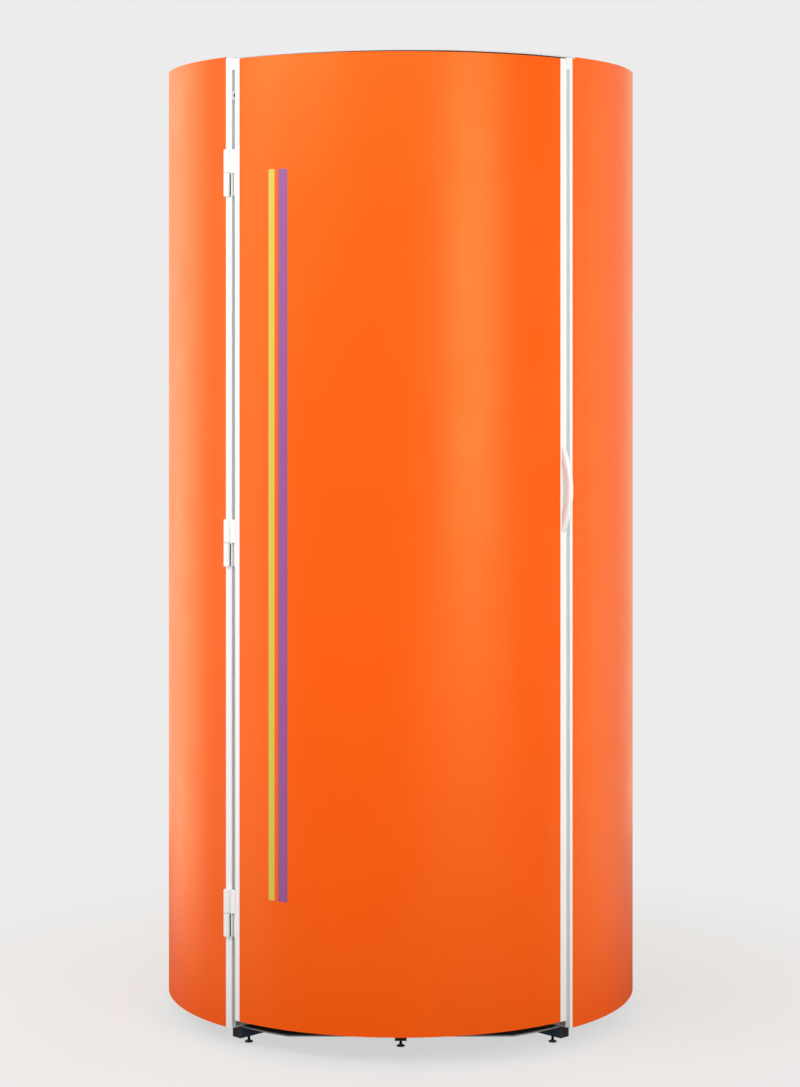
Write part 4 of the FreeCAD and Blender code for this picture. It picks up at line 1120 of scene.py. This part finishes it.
@dataclass
class GrabHandles:
    """Two bent loops under the ceiling, each on two flanges."""

    offset: float = 210.0
    half_span: float = 60.0
    ceiling: float = 1960.0
    drop: float = 55.0
    corner: float = 19.0
    corner_steps: int = 8
    width: float = 26.0
    thickness: float = 10.0
    edge: float = 4.0
    flange: Pair = (44.0, 28.0)
    flange_corner: float = 6.0
    flange_sheet: float = 2.5
    screw_inset: float = 5.0

    def line(self) -> list[Vector]:
        """The middle of a loop from flange to flange, in its own upright plane.

        Returns:
            The line's points.
        """
        points = [Vector((0.0, -self.half_span, 0.0))]
        low = self.corner - self.drop
        for side in (-1, 1):
            centre = Vector((0.0, side * (self.half_span - self.corner), low))
            for step in range(self.corner_steps + 1):
                turn = math.pi / 2 * step / self.corner_steps
                ahead, down = (math.cos(turn), math.sin(turn)) if side < 0 else (math.sin(turn), math.cos(turn))
                points.append(centre + Vector((0.0, side * ahead, -down)) * self.corner)
        points.append(Vector((0.0, self.half_span, 0.0)))
        return points

    def build(self) -> None:
        """Sweep both loops and screw them to the ceiling."""
        form, screws = Form(), Form()
        section = rounded(self.width, self.thickness, self.edge)
        head_down = Matrix.Rotation(math.pi, 4, "X")
        for side in Side:
            at = Vector((side.value * self.offset, 0.0, self.ceiling))
            form.sweep([at + point for point in self.line()], section, Vector((1.0, 0.0, 0.0)))
            for end in (-1, 1):
                place = Matrix.Translation(at + Vector((0.0, end * self.half_span, -self.flange_sheet)))
                form.prism(rounded(*self.flange, self.flange_corner), 0.0, self.flange_sheet, place)
                for aside in (-1, 1):
                    spot = Matrix.Translation((aside * (self.flange[0] / 2 - self.screw_inset), 0.0, 0.0))
                    screws.screw(place @ spot @ head_down, 2.6, 0.45)
        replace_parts(form.piece("grab_loops", Body.CABIN, "white_plastic", WHITE_ABS, 0.5), "grab_handles")
        screws.cabin_screws("grab_loop_screws")


@dataclass
class Fan:
    """Exhaust fan between the ceiling and the roof."""

    motor_bottom: float = 1995.0
    motor_top: float = 2047.0
    motor_radius: float = 45.0
    wheel_bottom: float = 2055.0
    wheel_height: float = 30.0
    hub: float = 40.0
    root: float = 3.0
    tip: float = 140.0
    shaft: float = 4.0
    blades: int = 5
    blade_steps: int = 8
    # At a blade's root, and how much more at its tip: length, slope and how far it is swept back.
    chord: Pair = (34.0, 26.0)
    pitch: Pair = (36.0, -12.0)
    swept: Pair = (0.0, 10.0)
    camber: float = 0.07
    skin: Pair = (0.5, 0.9)
    fins: int = 24

    def build(self) -> None:
        """Dress the duct and build the motor and the wheel."""
        dress(ZINC, "fan_duct", "fan_bracket")
        self.motor()
        self.wheel()

    def motor(self) -> None:
        """Turn the motor's case with its cooling fins and shaft."""
        inside, low, high = self.motor_radius - 5.0, self.motor_bottom, self.motor_top
        profile = [(inside - 4.0, low), (inside, low + 3.0), (inside, high - 6.0), (inside - 9.0, high)]
        profile += [(self.shaft, high), (self.shaft, self.wheel_bottom + self.wheel_height + 6.0)]
        form = Form().lathe(profile, sides=40)
        fin = [(inside - 1.0, -1.1), (self.motor_radius, -0.7), (self.motor_radius, 0.7), (inside - 1.0, 1.1)]
        for step in range(self.fins):
            form.prism(fin, low + 6.0, high - 8.0, level_at(0.0, 360.0 * step / self.fins, 0.0))
        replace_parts(form.piece("fan_motor_case", Body.CABIN, "motor_case", ENAMEL), "fan_motor")

    def wheel(self) -> None:
        """Turn the hub and loft each twisted, cambered blade."""
        low, high, bore = self.wheel_bottom, self.wheel_bottom + self.wheel_height, self.shaft + 0.3
        profile = [(bore, low), (self.hub - 2.0, low), (self.hub, low + 2.0)]
        profile += [(self.hub, high - 4.0), (self.hub - 6.0, high), (bore, high)]
        form = Form().lathe(profile, sides=40)
        for blade in range(self.blades):
            rings = []
            for step in range(self.blade_steps + 1):
                share = step / self.blade_steps
                reach = self.hub - self.root + (self.tip - self.hub + self.root) * share
                chord, pitch, swept = (at + more * share for at, more in (self.chord, self.pitch, self.swept))
                place = level_at(reach, 360.0 * blade / self.blades + swept, (low + high) / 2)
                section = self.blade_section(chord, math.radians(pitch))
                rings.append([tuple(place @ point) for point in section])
            form.loft(rings)
        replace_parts(form.piece("fan_wheel", Body.FAN, "black_plastic", BLACK_ABS), "fan_rotor")

    def blade_section(self, chord: float, pitch: float) -> list[Vector]:
        """A cambered blade section, square to the blade's length.

        Args:
            chord: Its length.
            pitch: Its slope against the level, in radians.

        Returns:
            The section's points.
        """
        points = []
        for side, order in ((1, range(7)), (-1, range(6, -1, -1))):
            for step in order:
                share = step / 6
                camber = self.camber * chord * math.sin(math.pi * share)
                skin = side * (self.skin[0] + self.skin[1] * math.sin(math.pi * share))
                points.append(Vector((0.0, (share - 0.5) * chord, camber + skin)))
        turn = Matrix.Rotation(pitch, 4, "X")
        return [turn @ point for point in points]


@dataclass
class Services:
    """Roof, electrics, catches and the door switch."""

    roof_top: float = 2104.0
    roof_screw_ring: float = 510.0
    roof_screws: int = 16
    terminal_ring: float = 488.0
    terminal_height: float = 13.0
    ballast_tops: tuple[float, ...] = (388.0, 648.0)
    ballast_pitch: float = 13.0
    ballast_columns: int = 8
    switchgear_face: float = 467.8
    switchgear_centre: float = 928.0
    lid: Pair = (412.0, 192.0)
    lid_sheet: float = 1.5
    lid_screw_inset: float = 12.0
    magnet_levels: Pair = (243.0, 1858.0)
    magnet_reach: Pair = (474.0, 496.0)
    magnet_skin: Pair = (-7.4, -7.65)
    switch_radius: float = 516.0
    switch_level: float = 2021.0

    def build(self) -> None:
        """Dress the sheets and boxes and add their small parts."""
        dress(PALE_COAT, "roof_panel")
        dress(GREY_COAT, "roof_grille", "ballasts")
        dress(ZINC, "ballast_tray", "catch_magnets", "catch_plates")
        dress(BLACK_ABS, "door_switch")
        dress(GREY_ABS, "switchgear_box")
        self.roof()
        self.terminals()
        self.switchgear()
        self.catches()

    def roof(self) -> None:
        """Screw the roof down round its edge."""
        form = Form()
        pitch = 360.0 / self.roof_screws
        for step in range(self.roof_screws):
            form.screw(level_at(self.roof_screw_ring, pitch / 2 + pitch * step, self.roof_top), 4.0, 0.38)
        form.cabin_screws("roof_screws")

    def terminals(self) -> None:
        """Put a comb-shaped terminal block on top of each ballast."""
        form = Form()
        comb = [(-14.0, -18.0)]
        for tooth in spread(4, 9.0):
            comb += [(-14.0, tooth - 3.2), (-8.0, tooth - 3.2), (-8.0, tooth + 3.2), (-14.0, tooth + 3.2)]
        comb += [(-14.0, 18.0), (2.0, 18.0), (2.0, -18.0)]
        for top in self.ballast_tops:
            for turn in spread(self.ballast_columns, self.ballast_pitch):
                place = level_at(self.terminal_ring, 180.0 + turn, 0.0)
                form.prism(comb, top, top + self.terminal_height, place)
        form.piece("ballast_terminals", Body.CABIN, "white_plastic", WHITE_ABS)

    def switchgear(self) -> None:
        """Close the switchgear box with a lid and four screws."""
        face = facing_in(self.switchgear_face, 180.0, self.switchgear_centre)
        lid = Form().prism(rounded(*self.lid, 8.0), 0.0, self.lid_sheet, face)
        lid.piece("switchgear_lid", Body.CABIN, "grey_plastic", GREY_ABS, 0.5)
        form = Form()
        up, aside = (size / 2 - self.lid_screw_inset for size in self.lid)
        form.screw_corners(face, up, aside, self.lid_sheet, 4.0, 0.4)
        form.cabin_screws("switchgear_lid_screws")

    def catches(self) -> None:
        """Set the magnets into their housings and the plunger into the door switch."""
        form = Form()
        for level in self.magnet_levels:
            form.prism(box(*self.magnet_reach, *self.magnet_skin), 6.0, 54.0, at_post(Side.RIGHT, level))
        form.piece("catch_magnet_bars", Body.CABIN, "zinc_sheet", BLACK_STEEL)
        aside = Matrix.Rotation(math.radians(-90), 4, "X")
        place = level_at(self.switch_radius, -POST_AZIMUTH, self.switch_level) @ aside
        rod = Form().lathe([(2.4, 6.0), (2.4, 9.4), (1.6, 10.4), (0.6, 10.7)], place, 16)
        rod.piece("door_switch_plunger", Body.CABIN, "black_plastic", WHITE_ABS)


# ---- Studio ----


@dataclass
class Studio:
    """Camera, lamps, backdrop and floor."""

    distance: float = 5.67
    eye: float = 1.4726
    lens: float = 82.62
    sensor: float = 36.0
    shift: Pair = (-0.0007, -0.174)
    backdrop: str = "#ececec"
    paper: str = "#868686"
    floor_glow: float = 0.72
    floor_radius: float = 3500.0
    floor_drop: float = 0.5
    fade: Pair = (0.62, 1.7)
    warm: str = "#fff2c0"
    light: float = 0.43

    def build(self) -> None:
        """Set up the studio."""
        self.camera()
        self.world()
        self.floor()
        self.lamp("window", (1.75, -2.8, 1.7), (0.0, 0.0, 1.7), (1.3, 1.9), 37.0)
        self.lamp("left", (-2.9, 1.7, 1.3), (0.0, 0.0, 1.1), (2.0, 3.6), 40.0, warm=True)
        self.lamp("side", (-3.3, -1.0, 1.1), (0.0, 0.0, 1.0), (1.8, 3.0), 27.0)
        self.lamp("right", (3.0, 1.2, 1.3), (0.0, 0.0, 1.1), (1.6, 3.6), 11.0, warm=True)
        self.lamp("flank", (3.5, 0.1, 1.0), (0.0, 0.0, 0.9), (2.0, 3.2), 19.0, warm=True)
        self.lamp("sky", (-2.6, -2.2, 2.9), (0.0, 0.0, 2.0), (2.8, 0.7), 47.0)
        self.lamp("brow", (-0.2, -3.4, 2.9), (0.0, 0.0, 2.0), (3.0, 0.6), 20.0)
        self.lamp("low", (1.7, -3.1, 0.4), (0.1, 0.0, 0.2), (3.0, 0.6), 9.5)
        self.lamp("rear_left", (-1.8, 2.7, 1.5), (-0.4, 0.0, 1.4), (1.2, 3.4), 9.0, warm=True)
        self.lamp("rear_right", (1.9, 2.6, 1.5), (0.4, 0.0, 1.4), (1.4, 3.4), 10.0, warm=True)
        bpy.context.scene.view_settings.view_transform = "Standard"

    def camera(self) -> None:
        """Place a level camera in front of the door."""
        data = bpy.data.cameras.new("camera")
        data.sensor_fit = "VERTICAL"
        data.sensor_height = self.sensor
        data.lens = self.lens
        data.shift_x, data.shift_y = self.shift
        data.clip_end = 100.0
        camera = add_object("camera", data)
        camera.location = (0.0, -self.distance, self.eye)
        camera.rotation_euler = (math.radians(90), 0.0, 0.0)
        bpy.context.scene.camera = camera

    def world(self) -> None:
        """Show the backdrop's colour to the eye and light the object evenly."""
        world = bpy.data.worlds.new("studio")
        bpy.context.scene.world = world
        world.use_nodes = True
        tree = world.node_tree
        tree.nodes.clear()
        path = add_node(tree, "ShaderNodeLightPath").outputs
        rays = {0: path["Is Camera Ray"], 1: path["Is Transmission Ray"]}
        seen = add_node(tree, "ShaderNodeMath", {"operation": "MAXIMUM"}, rays).outputs["Value"]
        soft = add_node(tree, "ShaderNodeBackground", {"Color": (1, 1, 1, 1), "Strength": self.light})
        wall = add_node(tree, "ShaderNodeBackground", {"Color": linear(self.backdrop), "Strength": 1.0})
        both = {0: seen, 1: soft.outputs["Background"], 2: wall.outputs["Background"]}
        mix = add_node(tree, "ShaderNodeMixShader", {}, both)
        add_node(tree, "ShaderNodeOutputWorld", {}, {"Surface": mix.outputs["Shader"]})

    def floor(self) -> None:
        """Lay a pale round floor that fades into the backdrop."""
        edge = [around(self.floor_radius, 5.0 * step, -self.floor_drop) for step in range(72)]
        data = bpy.data.meshes.new("studio_floor")
        data.from_pydata([Vector(point) * MM for point in edge], [], [range(len(edge))])
        floor = add_object("studio_floor", data)
        made = bpy.data.materials.new("studio paper")
        made.use_nodes = True
        tree = made.node_tree
        tree.nodes.remove(tree.nodes["Principled BSDF"])
        paper = add_node(tree, "ShaderNodeBsdfDiffuse", {"Color": linear(self.paper)}).outputs["BSDF"]
        shine = {"Color": linear(self.backdrop), "Strength": self.floor_glow}
        glow = add_node(tree, "ShaderNodeEmission", shine).outputs["Emission"]
        seen = add_node(tree, "ShaderNodeLightPath").outputs["Is Camera Ray"]
        dark = add_node(tree, "ShaderNodeEmission", {"Strength": 0.0}).outputs["Emission"]
        lift = add_node(tree, "ShaderNodeMixShader", {}, {0: seen, 1: dark, 2: glow}).outputs["Shader"]
        lit = add_node(tree, "ShaderNodeAddShader", {}, {0: paper, 1: lift}).outputs["Shader"]
        place = add_node(tree, "ShaderNodeTexCoord").outputs["Object"]
        away = add_node(tree, "ShaderNodeVectorMath", {"operation": "LENGTH"}, {0: place})
        near, far = self.fade
        span = {"From Min": near, "From Max": far, "interpolation_type": "SMOOTHSTEP"}
        fade = add_node(tree, "ShaderNodeMapRange", span, {"Value": away.outputs["Value"]})
        clear = add_node(tree, "ShaderNodeBsdfTransparent").outputs["BSDF"]
        mix = add_node(tree, "ShaderNodeMixShader", {}, {0: fade.outputs["Result"], 1: lit, 2: clear})
        tree.links.new(mix.outputs["Shader"], tree.nodes["Material Output"].inputs["Surface"])
        data.materials.append(made)

    def lamp(self, name: str, at: Point, aim: Point, size: Pair, power: float, warm: bool = False) -> None:
        """Hang one soft lamp.

        Args:
            name: The lamp's name.
            at: Where it hangs, in metres.
            aim: What it points at, in metres.
            size: Its width and height, in metres.
            power: Its power in watts.
            warm: Whether its light is warm instead of white.
        """
        data = bpy.data.lights.new(name, "AREA")
        if warm:
            data.color = linear(self.warm)[:3]
        data.shape = "RECTANGLE"
        data.size, data.size_y = size
        data.energy = power
        lamp = add_object(name, data)
        lamp.location = at
        lamp.rotation_euler = (Vector(aim) - Vector(at)).to_track_quat("-Z", "Y").to_euler()


def main() -> None:
    """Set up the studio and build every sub-assembly."""
    logging.basicConfig(level=logging.INFO, format="%(name)s: %(message)s")
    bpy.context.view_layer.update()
    lamps = (LampRing("body", Body.CABIN, 25, 180.0), LampRing("door", Body.DOOR, 7, 0.0))
    outside = (Shell(), Stripes(), Handle(), Hinges(), Chassis(), Floor())
    parts = (Studio(), *outside, *lamps, Interior(), Controls(), GrabHandles(), Fan(), Services())
    for part in parts:
        part.build()


if __name__ == "__main__":
    main()
